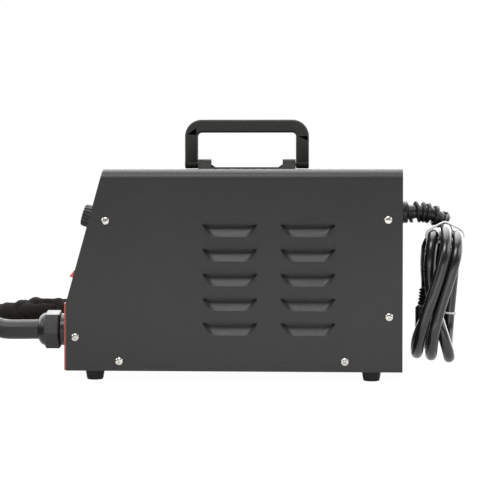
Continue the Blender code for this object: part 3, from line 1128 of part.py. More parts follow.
def make_strain_relief():
    """Collar at the rear panel with a spiral rib round the cord, down to a small ring."""
    frame = frame_at((X_COLLAR, 0.0, MAINS_Z), (1.0, 0.0, 0.0))
    bore = MAINS_DIAMETER / 2 + RELIEF_BORE_GAP
    outer = RELIEF_DIAMETER / 2
    neck = RELIEF_NECK / 2
    inside = -GAP - REAR_SHEET - GAP
    profile = [(outer * 0.96, RELIEF_COLLAR_LENGTH), (outer, RELIEF_COLLAR_LENGTH - 0.001), (outer, 0.0), (neck, 0.0),
               (neck, inside), (neck + 0.0025, inside), (neck + 0.0012, inside - 0.004), (bore, inside - 0.004),
               (bore, RELIEF_COLLAR_LENGTH)]
    relief = turned("strain_relief", profile, 20, frame, RUBBER, ring=True)
    middle = smooth_route([*CORD_KNOTS, HANK_ENTRY], 0.0015)
    along_path = [0.0]
    for one, other in zip(middle, middle[1:]):
        along_path.append(along_path[-1] + (other - one).length)

    def station(distance):
        """Point and direction on the cord at a distance from the panel's outer face."""
        distance += 0.0080
        index = min(range(len(along_path)), key=lambda i: abs(along_path[i] - distance))
        index = min(max(index, 1), len(middle) - 2)
        direction = (middle[index + 1] - middle[index - 1]).normalized()
        return middle[index] + direction * (distance - along_path[index]), direction

    rib = RELIEF_RIB / 2
    turn_radius = outer - rib
    start = RELIEF_COLLAR_LENGTH - rib
    end = RELIEF_END - RELIEF_TIP_LENGTH / 2
    count = 9 * RELIEF_CURLS
    points = []
    for i in range(count + 1):
        share = i / count
        eased = share + 0.07 * math.sin(math.tau * share)
        centre, direction = station(start + (end - start) * eased)
        side = direction.cross(Vector((0.0, 1.0, 0.0))).normalized()
        across = direction.cross(side)
        angle = math.tau * i / 9
        radius = turn_radius - RELIEF_TAPER * share
        points.append(centre + side * radius * math.cos(angle) + across * radius * math.sin(angle))
    gap = least_self_gap(points, RELIEF_RIB, 8 * RELIEF_RIB)
    print(f"strain_relief rib: least gap to itself {gap * 1000:.2f} mm")
    fuse(relief, tube("rib", points, rib, None, 1))
    centre, direction = station(RELIEF_END)
    tip = frame_at(centre, direction)
    ring = turn_radius - RELIEF_TAPER
    profile = [(ring + rib * 0.6, 0.0), (ring + rib * 0.6, -RELIEF_TIP_LENGTH), (bore + 0.0002, -RELIEF_TIP_LENGTH),
               (bore + 0.0002, 0.0)]
    fuse(relief, turned("ring", profile, 20, tip, None, ring=True))
    soften(relief, 50)


def run_point(share, start, end, bend, side, behind, bow=0.0):
    """Point of a hank's run from one bend's end to the next: a quarter bend, a straight, a quarter bend."""
    height = end[1] - start[1]
    rise = abs(height)
    quarter = math.pi / 2 * bend
    straight = rise - 2 * bend
    total = 2 * quarter + straight
    distance = share * total
    if distance < quarter:
        angle = distance / bend
        out, up = bend * math.sin(angle), bend * (1 - math.cos(angle))
    elif distance < quarter + straight:
        out, up = bend, bend + distance - quarter
    else:
        angle = (distance - quarter - straight) / bend
        out, up = bend * math.cos(angle), rise - bend + bend * math.sin(angle)
    part = up / rise
    blend = part * part * (3 - 2 * part)
    dive = behind * math.sin(math.pi * share)
    x = start[0] + (end[0] - start[0]) * blend + bow * math.sin(math.pi * part)
    return Vector((x, HANK_MIDDLE_Y + side * (out - dive), start[1] + math.copysign(up, height)))


def hank_points():
    """The tied hank: down behind, round the lower bend, up in front, over the upper bend, three times."""
    points = []
    count = 12
    entry = Vector(HANK_ENTRY)
    near = HANK_MIDDLE_Y - HANK_BEND
    first_bend = (entry.y - near) / 2
    middle = (entry.y + near) / 2
    bottom = HANK_BOTTOMS[0]
    drop = entry.z - bottom[1] - first_bend
    steps = 4
    for i in range(steps + 1):
        share = i / steps
        part = share * drop / (drop + first_bend)
        blend = part * part * (3 - 2 * part)
        points.append(Vector((entry.x + (bottom[0] - entry.x) * blend, entry.y, entry.z - drop * share)))
    for i in range(1, 7):
        angle = math.pi / 2 * i / 6
        part = (drop + first_bend * math.sin(angle)) / (drop + first_bend)
        blend = part * part * (3 - 2 * part)
        points.append(Vector((entry.x + (bottom[0] - entry.x) * blend, middle + first_bend * math.cos(angle),
                              bottom[1] + first_bend * (1 - math.sin(angle)))))
    for number, top in enumerate(HANK_TOPS):
        bottom = HANK_BOTTOMS[number]
        bend = first_bend if number == 0 else HANK_BEND
        for i in range(1, count + 1):
            share = i / count
            point = run_point(share, bottom, top, HANK_BEND, -1, HANK_BEHIND[number], HANK_BOWS[number])
            if number == 0:
                ease = max(0.0, 1 - share * 2.2)
                point.y += (middle - HANK_MIDDLE_Y) * ease
            points.append(point)
        if number + 1 < len(HANK_TOPS):
            for i in range(1, count + 1):
                points.append(run_point(i / count, top, HANK_BOTTOMS[number + 1], HANK_BEND, 1, 0.0))
    return points


TAIL_KNOTS = ((X_REAR + 0.0306, 0.0120, 0.1485), (X_REAR + 0.0302, 0.0260, 0.1390), (X_REAR + 0.0302, 0.0390, 0.1290),
              (X_REAR + 0.0308, 0.0505, 0.1180), (X_REAR + 0.0320, 0.0560, 0.1070))


def make_mains_lead():
    """Cord from the rear panel, the hank, its tail, the plug and the two white ties."""
    diameter = MAINS_DIAMETER
    hank = hank_points()
    last = hank[-1]
    hank.append(last + Vector((-0.0010, 0.0135, -0.0022)))
    gap = least_self_gap(hank, diameter, 4 * diameter)
    print(f"mains_hank: least gap to itself {gap * 1000:.2f} mm, length {path_length(hank):.3f} m")
    soften(tube("mains_hank", hank, diameter / 2, CORD_JACKET, 1), 60)
    back = (hank[0] - hank[1]).normalized()
    knots = [*CORD_KNOTS, hank[0] + back * (GAP + diameter), hank[0] + back * GAP]
    print(f"mains_cord: {lead('mains_cord', knots, diameter, CORD_JACKET, 2, 0.5):.3f} m")
    way = (hank[-1] - hank[-2]).normalized()
    knots = [hank[-1] + way * GAP, hank[-1] + way * 0.006, *TAIL_KNOTS, Vector(PLUG_AT) + Vector((0.0, 0.0, GAP))]
    print(f"mains_tail: {lead('mains_tail', knots, diameter, CORD_JACKET, 2, 1.2):.3f} m")
    make_plug()
    make_ties()


def make_plug():
    """Moulded plug hanging pins down, with its tapered strain relief."""
    x, y, z = PLUG_AT
    relief_low = z - PLUG_RELIEF_LENGTH
    half_x, half_y, height = PLUG_BODY[0] / 2, PLUG_BODY[1] / 2, PLUG_BODY[2]
    low = relief_low - height
    plug = block("plug", (x - half_x, y - half_y, low), (x + half_x, y + half_y, relief_low), BLACK_PLASTIC, 0.004, 2)
    fuse(plug, rod("relief", (x, y, relief_low - 0.004), (x, y, z), PLUG_RELIEF_DIAMETER / 2 + 0.002, 12, None,
                   tip_radius=PLUG_RELIEF_DIAMETER / 2))
    for side in (-1, 1):
        blade_x = x + side * 0.0064
        fuse(plug, block("blade", (blade_x - 0.0008, y - 0.0032 - 0.003, low - PLUG_PIN_LENGTH),
                         (blade_x + 0.0008, y + 0.0032 - 0.003, low + 0.002), None))
    fuse(plug, rod("earth_pin", (x, y + 0.0075, low + 0.002), (x, y + 0.0075, low - PLUG_PIN_LENGTH - 0.002), 0.0024, 10, None))
    soften(plug)


def make_ties():
    """White wire ties: one holds the hank's upper bends to the strain relief, one is on a rear run."""
    wire = TIE_WIRE / 2
    cord = MAINS_DIAMETER / 2
    reach = cord + wire + GAP / 2
    ring = []
    count = 32
    for i in range(count):
        out = Vector((math.cos(math.tau * i / count), 0.0, math.sin(math.tau * i / count)))
        strand = max(HANK_TOPS, key=lambda top: top[0] * out.x + top[1] * out.z)
        ring.append(Vector((strand[0], HANK_MIDDLE_Y, strand[1])) + out * reach)
    soften(tube("tie_upper", ring, wire, WHITE_TIE, 1, closed=True), 60)
    at = run_point(0.62, HANK_TOPS[1], HANK_BOTTOMS[2], HANK_BEND, 1, 0.0)
    after = run_point(0.66, HANK_TOPS[1], HANK_BOTTOMS[2], HANK_BEND, 1, 0.0)
    frame = frame_at(at, after - at)
    radius = cord * 1.06 + wire + GAP
    ring = [frame @ Vector((radius * math.cos(math.tau * i / 16), radius * math.sin(math.tau * i / 16), 0.0))
            for i in range(16)]
    soften(tube("tie_lower", ring, wire, WHITE_TIE, 1, closed=True), 60)


# ---- innards ---------------------------------------------------------------------------------------
def make_fan():
    """Fan on the rear panel: square frame with a hub carrier, and the bladed rotor on its shaft."""
    rear = X_REAR_INNER - GAP
    front = rear - FAN_DEPTH
    half = FAN_SIZE / 2
    bore = FAN_BORE / 2
    hub = FAN_HUB / 2
    frame_piece = block("fan_frame", (front, -half, FAN_Z - half), (rear, half, FAN_Z + half), BLACK_PLASTIC)
    cut(frame_piece, rod("bore", (front - CUT, 0.0, FAN_Z), (rear + CUT, 0.0, FAN_Z), bore, 32, None))
    # carrier disc and four arms on the inner side, the rotor behind the grille
    arm_end = front + 0.0040
    carrier = rod("disc", (front, 0.0, FAN_Z), (arm_end, 0.0, FAN_Z), hub, 24, None)
    for i in range(4):
        spoke = block("spoke", (front + 0.0002, hub - 0.003, -0.0025), (arm_end - 0.0002, bore + 0.001, 0.0025), None,
                      frame=Matrix.Translation((0.0, 0.0, FAN_Z)) @ Matrix.Rotation(math.tau * (i + 0.5) / 4, 4, "X"))
        fuse(carrier, spoke)
    fuse(frame_piece, carrier)
    shaft = FAN_SHAFT / 2
    cut(frame_piece, rod("shaft_hole", (front - CUT, 0.0, FAN_Z), (arm_end + CUT, 0.0, FAN_Z), shaft + GAP, 12, None))
    soften(frame_piece)

    start = arm_end + 0.0006
    end = rear - 0.0010
    axle_frame = frame_at((0.0, 0.0, FAN_Z), (1.0, 0.0, 0.0))
    profile = [(0.0, end), (hub * 0.94, end), (hub, end - 0.0015), (hub, start), (shaft, start), (shaft, front + 0.0005),
               (0.0, front + 0.0005)]
    rotor = turned("fan_rotor", profile, 28, axle_frame, BLACK_PLASTIC)
    reach = bore - FAN_TIP_GAP
    middle = (start + end) / 2
    depth = (end - start) * 0.42
    for i in range(FAN_BLADES):
        shape = bmesh.new()
        levels = ((hub - 0.0015, 0.95, 0.42), (reach, 0.62, 0.30))
        rings = []
        for radius, twist, spread in levels:
            ring = []
            for end_sign, face_sign in ((-1, -1), (1, -1), (1, 1), (-1, 1)):
                swing = end_sign * spread + face_sign * 0.0009 / radius
                x = middle + end_sign * depth * twist
                ring.append(shape.verts.new((x, radius * math.cos(swing), radius * math.sin(swing))))
            rings.append(ring)
        for k in range(4):
            j = (k + 1) % 4
            shape.faces.new((rings[0][k], rings[0][j], rings[1][j], rings[1][k]))
        shape.faces.new(rings[0])
        shape.faces.new(rings[1])
        bmesh.ops.triangulate(shape, faces=shape.faces)
        blade = from_bmesh("blade", shape, Matrix.Translation((0.0, 0.0, FAN_Z))
                           @ Matrix.Rotation(math.tau * i / FAN_BLADES, 4, "X"), None, outward=True)
        fuse(rotor, blade)
    set_origin(rotor, (middle, 0.0, FAN_Z))
    soften(rotor)


def make_power_stage():
    """Heat sink on the pan, the circuit board on it with its capacitors, and the transformer."""
    floor = Z_PAN_FLOOR + GAP
    low, high = SINK_X
    base_top = SINK_TOP
    base_low = SINK_TOP - 0.008
    sink = block("heat_sink", (low, -SINK_HALF_WIDTH, base_low), (high, SINK_HALF_WIDTH, base_top), ALUMINIUM)
    pitch = 2 * (SINK_HALF_WIDTH - 0.001) / (SINK_FINS - 1)
    for i in range(SINK_FINS):
        y = -SINK_HALF_WIDTH + 0.001 + i * pitch
        end_fin = i in (0, SINK_FINS - 1)
        bottom = floor if end_fin else base_low - SINK_FIN_HEIGHT
        fuse(sink, block("fin", (low + 0.0001, y - 0.0009, bottom), (high - 0.0001, y + 0.0009, base_low + 0.002), None))

    board_low = SINK_TOP + GAP
    board_top = board_low + BOARD_SHEET
    board = block("main_board", (BOARD_X[0], -BOARD_HALF_WIDTH, board_low), (BOARD_X[1], BOARD_HALF_WIDTH, board_top), BOARD_GREEN)
    root = board_top - 0.0005
    front, rear = BOARD_X
    for x, y in ((rear - 0.088, -0.030), (rear - 0.088, 0.008), (rear - 0.046, -0.030), (rear - 0.046, 0.008)):
        fuse(board, rod("capacitor", (x, y, root), (x, y, board_top + 0.045), 0.015, 16, None))
    fuse(board, block("rectifier", (front + 0.070, -0.030, root), (front + 0.098, 0.000, board_top + 0.009), None),
         block("driver", (front + 0.015, 0.020, root), (front + 0.060, 0.050, board_top + 0.022), None),
         rod("choke", (front + 0.038, -0.024, root), (front + 0.038, -0.024, board_top + 0.018), 0.020, 18, None))

    x0, x1 = TRANSFORMER_X
    width = TRANSFORMER_HALF_WIDTH
    core = block("transformer", (x0, -width, floor), (x1, width, floor + TRANSFORMER_HEIGHT), CORE_IRON, 0.002, 1)
    middle = (x0 + x1) / 2
    fuse(core, block("winding", (middle - 0.020, -width - 0.012, floor + 0.010),
                     (middle + 0.020, width + 0.012, floor + TRANSFORMER_HEIGHT - 0.010), None, 0.006, 2))


def make_air_valve():
    """Air inlet through the rear panel with its solenoid valve behind it."""
    frame = frame_at((X_REAR_FACE, VALVE_Y, VALVE_Z), (1.0, 0.0, 0.0))
    neck = VALVE_NECK / 2
    inside = -REAR_SHEET - GAP
    profile = [(neck, 0.0012), (neck, inside), (neck + 0.004, inside), (neck + 0.004, inside - 0.006),
               (neck, inside - 0.006), (neck, inside - 0.022), (0.0, inside - 0.022), (0.0, -0.012), (0.0046, -0.010),
               (0.0046, 0.0012)]
    valve = turned("air_valve", profile, 16, frame, BRASS, ring=True)
    x = X_REAR_FACE + inside - 0.020
    fuse(valve, block("body", (x - 0.022, VALVE_Y - 0.011, VALVE_Z - 0.011), (x, VALVE_Y + 0.011, VALVE_Z + 0.011), None, 0.001, 1),
         rod("coil", (x - 0.011, VALVE_Y, VALVE_Z + 0.010), (x - 0.011, VALVE_Y, VALVE_Z + 0.044), 0.0125, 16, None))
    soften(valve)


def main():
    """Build every piece."""
    make_cover()
    make_screws()
    make_base_pan()
    make_front_panel()
    make_rear_panel()
    make_feet()
    make_handle()
    make_current_knob()
    make_power_switch()
    make_lamps()
    make_gland()
    make_earth_lead()
    make_torch_collar()
    make_torch_lead()
    make_strain_relief()
    make_mains_lead()
    make_fan()
    make_power_stage()
    make_air_valve()


main()
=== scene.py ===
"""Looks of a portable plasma cutter with its leads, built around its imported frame.

Every sub-assembly is a class with its sizes in metres as fields and methods that build and dress its
pieces; every finish is a small frozen class. The frame is the CAD's own: the origin is on the floor
under the middle of the case, the red front faces -X and the near side -Y.
"""
import json
import logging
import math
from collections.abc import Callable, Iterable, Sequence
from dataclasses import dataclass, field
from enum import Enum
from functools import cache

import bmesh
import bpy
from mathutils import Matrix, Vector, noise
from mathutils.geometry import delaunay_2d_cdt

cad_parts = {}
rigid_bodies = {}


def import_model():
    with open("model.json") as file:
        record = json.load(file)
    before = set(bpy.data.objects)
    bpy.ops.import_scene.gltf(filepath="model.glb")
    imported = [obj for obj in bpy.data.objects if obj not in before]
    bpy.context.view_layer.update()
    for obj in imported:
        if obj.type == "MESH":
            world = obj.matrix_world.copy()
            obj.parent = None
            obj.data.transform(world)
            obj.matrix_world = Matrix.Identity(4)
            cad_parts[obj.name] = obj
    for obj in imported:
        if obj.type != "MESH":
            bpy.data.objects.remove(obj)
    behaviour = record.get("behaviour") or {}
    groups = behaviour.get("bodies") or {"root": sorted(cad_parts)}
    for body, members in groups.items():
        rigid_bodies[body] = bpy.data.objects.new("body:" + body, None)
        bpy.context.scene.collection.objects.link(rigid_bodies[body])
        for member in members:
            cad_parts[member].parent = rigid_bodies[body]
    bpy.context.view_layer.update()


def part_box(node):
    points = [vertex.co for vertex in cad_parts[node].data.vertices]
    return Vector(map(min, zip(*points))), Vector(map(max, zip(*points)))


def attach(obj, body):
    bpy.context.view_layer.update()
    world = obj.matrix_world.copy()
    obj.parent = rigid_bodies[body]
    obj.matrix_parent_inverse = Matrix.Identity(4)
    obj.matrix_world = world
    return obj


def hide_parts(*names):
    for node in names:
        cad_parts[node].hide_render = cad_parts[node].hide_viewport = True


LOG = logging.getLogger("plasma_cutter")
Point = tuple[float, float, float]
Outline = list[tuple[float, float]]

# ---- the case's own sizes, as in the CAD -----------------------------------------------------------
SLOPE = math.radians(15.6)
X_FRONT, X_REAR = -0.187, 0.187
X_EDGE = X_FRONT + 0.0021
Y_SIDE = 0.0775
Z_BASE, Z_TOP, Z_BREAK = 0.0117, 0.2351, 0.0868
SHEET = 0.0012
BEND = 0.012
RECESS = 0.0010


class Body(Enum):
    """Bodies of the frame that pieces ride on."""

    HOUSING = "housing"
    HANDLE = "handle"
    KNOB = "knob"
    ROCKER = "rocker"
    FAN = "fan"
    TRIGGER = "trigger"
    JAW = "clamp_jaw"


# ---- places and paths ------------------------------------------------------------------------------
def frame_at(origin: Sequence[float], along: Sequence[float], side: Sequence[float] = (0.0, 1.0, 0.0)) -> Matrix:
    """Frame with local Z along one direction and local Y near another.

    Args:
        origin: Where the frame stands.
        along: Direction of its local Z.
        side: Direction that its local Y leans to.

    Returns:
        The frame's matrix.
    """
    z_axis = Vector(along).normalized()
    x_axis = Vector(side).cross(z_axis).normalized()
    turn = Matrix((x_axis, z_axis.cross(x_axis), z_axis)).transposed().to_4x4()
    return Matrix.Translation(Vector(origin)) @ turn


def edge_x(z: float) -> float:
    """X of the cover's front edge at a height."""
    return X_EDGE + max(0.0, z - Z_BREAK) * math.tan(SLOPE)


def slope_frame(up: float, y: float) -> Matrix:
    """Frame on the sloped front: local Z out of it, local Y up it, local X to the near side.

    Args:
        up: Distance up the slope from its lower end.
        y: Place across the panel.

    Returns:
        The frame's matrix.
    """
    z = Z_BREAK + up * math.cos(SLOPE)
    normal = Vector((-math.cos(SLOPE), 0.0, math.sin(SLOPE)))
    upward = Vector((math.sin(SLOPE), 0.0, math.cos(SLOPE)))
    turn = Matrix((Vector((0.0, -1.0, 0.0)), upward, normal)).transposed().to_4x4()
    return Matrix.Translation((edge_x(z) + RECESS / math.cos(SLOPE), y, z)) @ turn


def front_frame(y: float, z: float) -> Matrix:
    """Frame on the upright lower front, with local Z out of it."""
    return frame_at((X_FRONT, y, z), (-1.0, 0.0, 0.0))


def smooth_route(knots: Sequence[Sequence[float]], spacing: float) -> list[Vector]:
    """Even points on a smooth curve through knots, with a straight stretch at each end.

    Args:
        knots: Points that the curve passes through.
        spacing: Distance between the points, about.

    Returns:
        The points, from the first knot to the last.
    """
    padded = [Vector(knot) for knot in knots]
    dense = []
    for before, start, end, after in zip(padded, padded[1:], padded[2:], padded[3:]):
        for i in range(24):
            t = i / 24
            dense.append(0.5 * (2 * start + (end - before) * t
                                + (2 * before - 5 * start + 4 * end - after) * t * t
                                + (3 * start - before - 3 * end + after) * t ** 3))
    dense.append(padded[-2])
    return [padded[0], *even(dense, spacing), padded[-1]]


def distances(points: Sequence[Vector]) -> list[float]:
    """Distance of each of a path's points from its start."""
    along = [0.0]
    for one, other in zip(points, points[1:]):
        along.append(along[-1] + (other - one).length)
    return along


def even(points: Sequence[Vector], spacing: float) -> list[Vector]:
    """Resample a path at even spacing.

    Args:
        points: The path.
        spacing: Distance between the new points, about.

    Returns:
        The new points, both ends included.
    """
    lengths = distances(points)
    count = max(2, round(lengths[-1] / spacing))
    result, index = [], 0
    for i in range(count + 1):
        wanted = lengths[-1] * i / count
        while index < len(lengths) - 2 and lengths[index + 1] < wanted:
            index += 1
        share = (wanted - lengths[index]) / max(1e-9, lengths[index + 1] - lengths[index])
        result.append(points[index].lerp(points[index + 1], min(1.0, share)))
    return result


def path_length(points: Sequence[Vector]) -> float:
    """Length of a path."""
    return sum((other - one).length for one, other in zip(points, points[1:]))


def arc(centre: tuple[float, float], radius: float, start: float, end: float, count: int) -> Outline:
    """Points of an arc.

    Args:
        centre: Its centre.
        radius: Its radius.
        start: First angle in degrees.
        end: Last angle in degrees.
        count: Number of points, both ends included.

    Returns:
        The points.
    """
    steps = [math.radians(start + (end - start) * i / (count - 1)) for i in range(count)]
    return [(centre[0] + radius * math.cos(a), centre[1] + radius * math.sin(a)) for a in steps]


def ease(share: float) -> float:
    """Smooth step from 0 to 1."""
    share = min(1.0, max(0.0, share))
    return share * share * (3 - 2 * share)


# ---- node trees ------------------------------------------------------------------------------------
class NodeTree:
    """Shorthand for adding nodes to one tree and linking them."""

    def __init__(self, tree: bpy.types.NodeTree) -> None:
        """Hold the tree."""
        self.tree = tree

    def add(self, kind: str, inputs: dict[str | int, object] | None = None, **settings: object) -> bpy.types.Node:
        """Add a node.

        Args:
            kind: The node's type.
            inputs: Values or sockets for its inputs, by name or number.
            **settings: Its own properties.

        Returns:
            The node.
        """
        node = self.tree.nodes.new(kind)
        for name, value in settings.items():
            setattr(node, name, value)
        for name, value in (inputs or {}).items():
            self.put(node.inputs[name], value)
        return node

    def put(self, socket: bpy.types.NodeSocket, value: object) -> None:
        """Link a socket or set its value; a list gives a socket several links.

        Args:
            socket: The input.
            value: A socket, a list of sockets, or a plain value.
        """
        if isinstance(value, list):
            for source in value:
                self.put(socket, source)
        elif isinstance(value, bpy.types.NodeSocket):
            self.tree.links.new(value, socket)
        elif isinstance(value, tuple) and len(value) == 3 and socket.type == "RGBA":
            socket.default_value = (*value, 1.0)
        else:
            socket.default_value = value

    def maths(self, operation: str, one: object, other: object = 0.0) -> bpy.types.NodeSocket:
        """Result of a maths node."""
        return self.add("ShaderNodeMath", {0: one, 1: other}, operation=operation).outputs[0]


# ---- materials -------------------------------------------------------------------------------------
class Shader(NodeTree):
    """Shorthand for building one material's node tree."""

    def __init__(self, name: str) -> None:
        """Start a material with a Principled shader."""
        self.material = bpy.data.materials.new(name)
        self.material.use_nodes = True
        super().__init__(self.material.node_tree)
        self.shader = self.tree.nodes["Principled BSDF"]

    def set(self, **inputs: object) -> None:
        """Set or link the shader's inputs; an underscore stands for a space."""
        for name, value in inputs.items():
            self.put(self.shader.inputs[name.replace("_", " ")], value)

    def place(self) -> bpy.types.NodeSocket:
        """Object coordinates, in metres."""
        return self.add("ShaderNodeTexCoord").outputs["Object"]

    def along(self) -> bpy.types.NodeSocket:
        """The piece's own UV map."""
        return self.add("ShaderNodeTexCoord").outputs["UV"]

    def noise(self, scale: float, detail: float = 3.0, rough: float = 0.5,
              where: bpy.types.NodeSocket | None = None) -> bpy.types.NodeSocket:
        """Noise value.

        Args:
            scale: Features per metre, about.
            detail: Octaves.
            rough: Strength of the higher octaves.
            where: Coordinates; Object coordinates where none are given.

        Returns:
            The factor output.
        """
        node = self.add("ShaderNodeTexNoise", {"Vector": where or self.place(), "Scale": scale, "Detail": detail,
                                               "Roughness": rough})
        return node.outputs["Fac"]

    def spread(self, value: bpy.types.NodeSocket, low: float, high: float, start: float = 0.3,
               end: float = 0.7) -> bpy.types.NodeSocket:
        """Map a factor's range to another.

        Args:
            value: The factor.
            low: Result at the start.
            high: Result at the end.
            start: Factor at which the result is low.
            end: Factor at which it is high.

        Returns:
            The mapped value.
        """
        node = self.add("ShaderNodeMapRange", {"Value": value, "From Min": start, "From Max": end, "To Min": low,
                                               "To Max": high})
        return node.outputs["Result"]

    def blend(self, factor: object, one: object, other: object) -> bpy.types.NodeSocket:
        """Mix two colours by a factor."""
        return self.add("ShaderNodeMix", {0: factor, 6: one, 7: other}, data_type="RGBA").outputs[2]

    def relief(self, height: bpy.types.NodeSocket, depth: float, strength: float = 1.0,
               base: bpy.types.NodeSocket | None = None) -> bpy.types.NodeSocket:
        """Bumped normal.

        Args:
            height: Height factor.
            depth: Depth in metres that a factor of 1 stands for.
            strength: How much of the bump shows.
            base: Normal that the bump is added to.

        Returns:
            The normal.
        """
        inputs = {"Height": height, "Distance": depth, "Strength": strength}
        if base is not None:
            inputs["Normal"] = base
        return self.add("ShaderNodeBump", inputs).outputs["Normal"]


@dataclass(frozen=True)
class Finish:
    """A surface finish; the material is made once and shared."""

    name: str
    slot: str
    colour: Point
    roughness: float = 0.5

    def material(self) -> bpy.types.Material:
        """The finish's material."""
        known = bpy.data.materials.get(self.name)
        if known is not None and known.get("cutter_finish"):
            return known
        shader = Shader(self.name)
        self.dress(shader)
        made = shader.material
        made["cutter_finish"] = True
        made.diffuse_color = (*self.colour, 1.0)
        return made

    def dress(self, shader: Shader) -> None:
        """Fill in the node tree."""
        raise NotImplementedError


@dataclass(frozen=True)
class PowderCoat(Finish):
    """Baked texture paint: fine pebbles with painted highlights on their tops, uneven gloss, faint cloudy colour."""

    pebble: float = 520.0
    depth: float = 0.00022

    def dress(self, shader: Shader) -> None:
        """Fill in the node tree."""
        cloud = shader.noise(9.0, 3.0, 0.6)
        pebble = shader.noise(self.pebble, 2.0, 0.55)
        fine = shader.noise(self.pebble * 2.7, 1.0)
        dark = tuple(c * 0.90 for c in self.colour)
        light = tuple(c * 1.10 for c in self.colour)
        tone = shader.blend(shader.spread(cloud, 0.0, 1.0), dark, light)
        # painted highlight: the pebbles' tops, where the bump rises, get a lighter colour
        pebble_highlight = tuple(c * 2.1 for c in self.colour)
        shader.set(Base_Color=shader.blend(shader.spread(pebble, 0.0, 0.35, 0.55, 0.8), tone, pebble_highlight),
                   Roughness=shader.spread(fine, self.roughness - 0.05, self.roughness + 0.07),
                   Specular_IOR_Level=0.50,
                   Normal=shader.relief(pebble, self.depth, 0.55))


@dataclass(frozen=True)
class Enamel(Finish):
    """Smooth sprayed enamel with slight orange peel."""

    def dress(self, shader: Shader) -> None:
        """Fill in the node tree."""
        peel = shader.noise(240.0, 2.0)
        cloud = shader.noise(14.0, 3.0)
        light = tuple(min(1.0, c * 1.12 + 0.004) for c in self.colour)
        shader.set(Base_Color=shader.blend(shader.spread(cloud, 0.0, 1.0), self.colour, light),
                   Roughness=shader.spread(peel, self.roughness - 0.04, self.roughness + 0.05),
                   Coat_Weight=0.15, Coat_Roughness=0.2,
                   Normal=shader.relief(peel, 0.00012, 0.3))


@dataclass(frozen=True)
class Moulding(Finish):
    """Moulded plastic or rubber: sparked grain, dull spots and a little dust in the tone."""

    grain: float = 1300.0
    depth: float = 0.00006
    sheen: float = 0.0

    def dress(self, shader: Shader) -> None:
        """Fill in the node tree."""
        grain = shader.noise(self.grain, 3.0, 0.6)
        wear = shader.noise(26.0, 4.0, 0.65)
        light = tuple(c * 1.35 + 0.002 for c in self.colour)
        shader.set(Base_Color=shader.blend(shader.spread(wear, 0.0, 0.6), self.colour, light),
                   Roughness=shader.spread(wear, self.roughness - 0.06, self.roughness + 0.08),
                   Sheen_Weight=self.sheen,
                   Normal=shader.relief(grain, self.depth, 0.6))


@dataclass(frozen=True)
class Metal(Finish):
    """Bare or plated metal with fine brushing and handling marks."""

    brush: float = 700.0
    stretch: Point = (1.0, 1.0, 0.08)

    def dress(self, shader: Shader) -> None:
        """Fill in the node tree."""
        mapped = shader.add("ShaderNodeMapping", {"Vector": shader.place(), "Scale": self.stretch})
        brush = shader.noise(self.brush, 3.0, 0.6, mapped.outputs["Vector"])
        marks = shader.noise(60.0, 4.0, 0.7)
        dark = tuple(c * 0.72 for c in self.colour)
        shader.set(Base_Color=shader.blend(shader.spread(marks, 0.0, 1.0, 0.35, 0.75), self.colour, dark),
                   Metallic=1.0,
                   Roughness=shader.spread(marks, self.roughness - 0.05, self.roughness + 0.14),
                   Normal=shader.relief(brush, 0.00004, 0.35))


@dataclass(frozen=True)
class Lens(Finish):
    """Clear coloured plastic, lit a little from within by its own colour."""

    def dress(self, shader: Shader) -> None:
        """Fill in the node tree."""
        streak = shader.noise(420.0, 2.0)
        deep = tuple(c * 0.75 for c in self.colour)
        shader.set(Base_Color=shader.blend(shader.spread(streak, 0.0, 1.0), self.colour, deep),
                   Roughness=self.roughness, Coat_Weight=0.5, Coat_Roughness=0.08,
                   Subsurface_Weight=0.12, Subsurface_Radius=(0.004, 0.001, 0.001), Subsurface_Scale=1.0,
                   Normal=shader.relief(streak, 0.00003, 0.4))


@dataclass(frozen=True)
class Jacket(Finish):
    """Extruded cable jacket: fine drawn lines along it, a talcy bloom and slight waviness. Reads UV in metres."""

    gloss: float = 0.3

    def dress(self, shader: Shader) -> None:
        """Fill in the node tree."""
        where = shader.add("ShaderNodeMapping", {"Vector": shader.along(), "Scale": (1.0, 0.05, 1.0)})
        lines = shader.noise(1500.0, 3.0, 0.6, where.outputs["Vector"])
        bloom = shader.noise(45.0, 4.0, 0.65)
        light = tuple(c * 1.5 + 0.003 for c in self.colour)
        shader.set(Base_Color=shader.blend(shader.spread(bloom, 0.0, 0.7), self.colour, light),
                   Roughness=shader.spread(bloom, self.roughness - 0.05, self.roughness + 0.1),
                   Specular_IOR_Level=0.5,
                   Coat_Weight=self.gloss, Coat_Roughness=0.25,
                   Normal=shader.relief(lines, 0.00005, 0.4))


@dataclass(frozen=True)
class WovenSleeve(Finish):
    """Woven textile sleeve: two crossing yarns, lint and dull folds. Reads UV in metres."""

    yarn: float = 0.0011

    def dress(self, shader: Shader) -> None:
        """Fill in the node tree."""
        split = shader.add("ShaderNodeSeparateXYZ", {"Vector": shader.along()})
        turns = math.tau / self.yarn
        around = shader.maths("SINE", shader.maths("MULTIPLY", split.outputs["X"], turns))
        length = shader.maths("SINE", shader.maths("MULTIPLY", split.outputs["Y"], turns))
        weave = shader.spread(shader.maths("MULTIPLY", around, length), 0.0, 1.0, -1.0, 1.0)
        lint = shader.noise(1800.0, 3.0, 0.7)
        folds = shader.noise(55.0, 3.0, 0.6)
        height = shader.maths("ADD", weave, shader.maths("MULTIPLY", lint, 0.6))
        light = tuple(c * 1.9 for c in self.colour)
        tone = shader.blend(shader.spread(weave, 0.0, 0.55, 0.2, 0.9), self.colour, light)
        dust = tuple(c * 2.6 for c in self.colour)
        shader.set(Base_Color=shader.blend(shader.spread(folds, 0.0, 0.3, 0.45, 0.8), tone, dust),
                   Roughness=self.roughness, Sheen_Weight=0.05, Sheen_Roughness=0.6, Specular_IOR_Level=0.08,
                   Normal=shader.relief(height, 0.00025, 0.8))


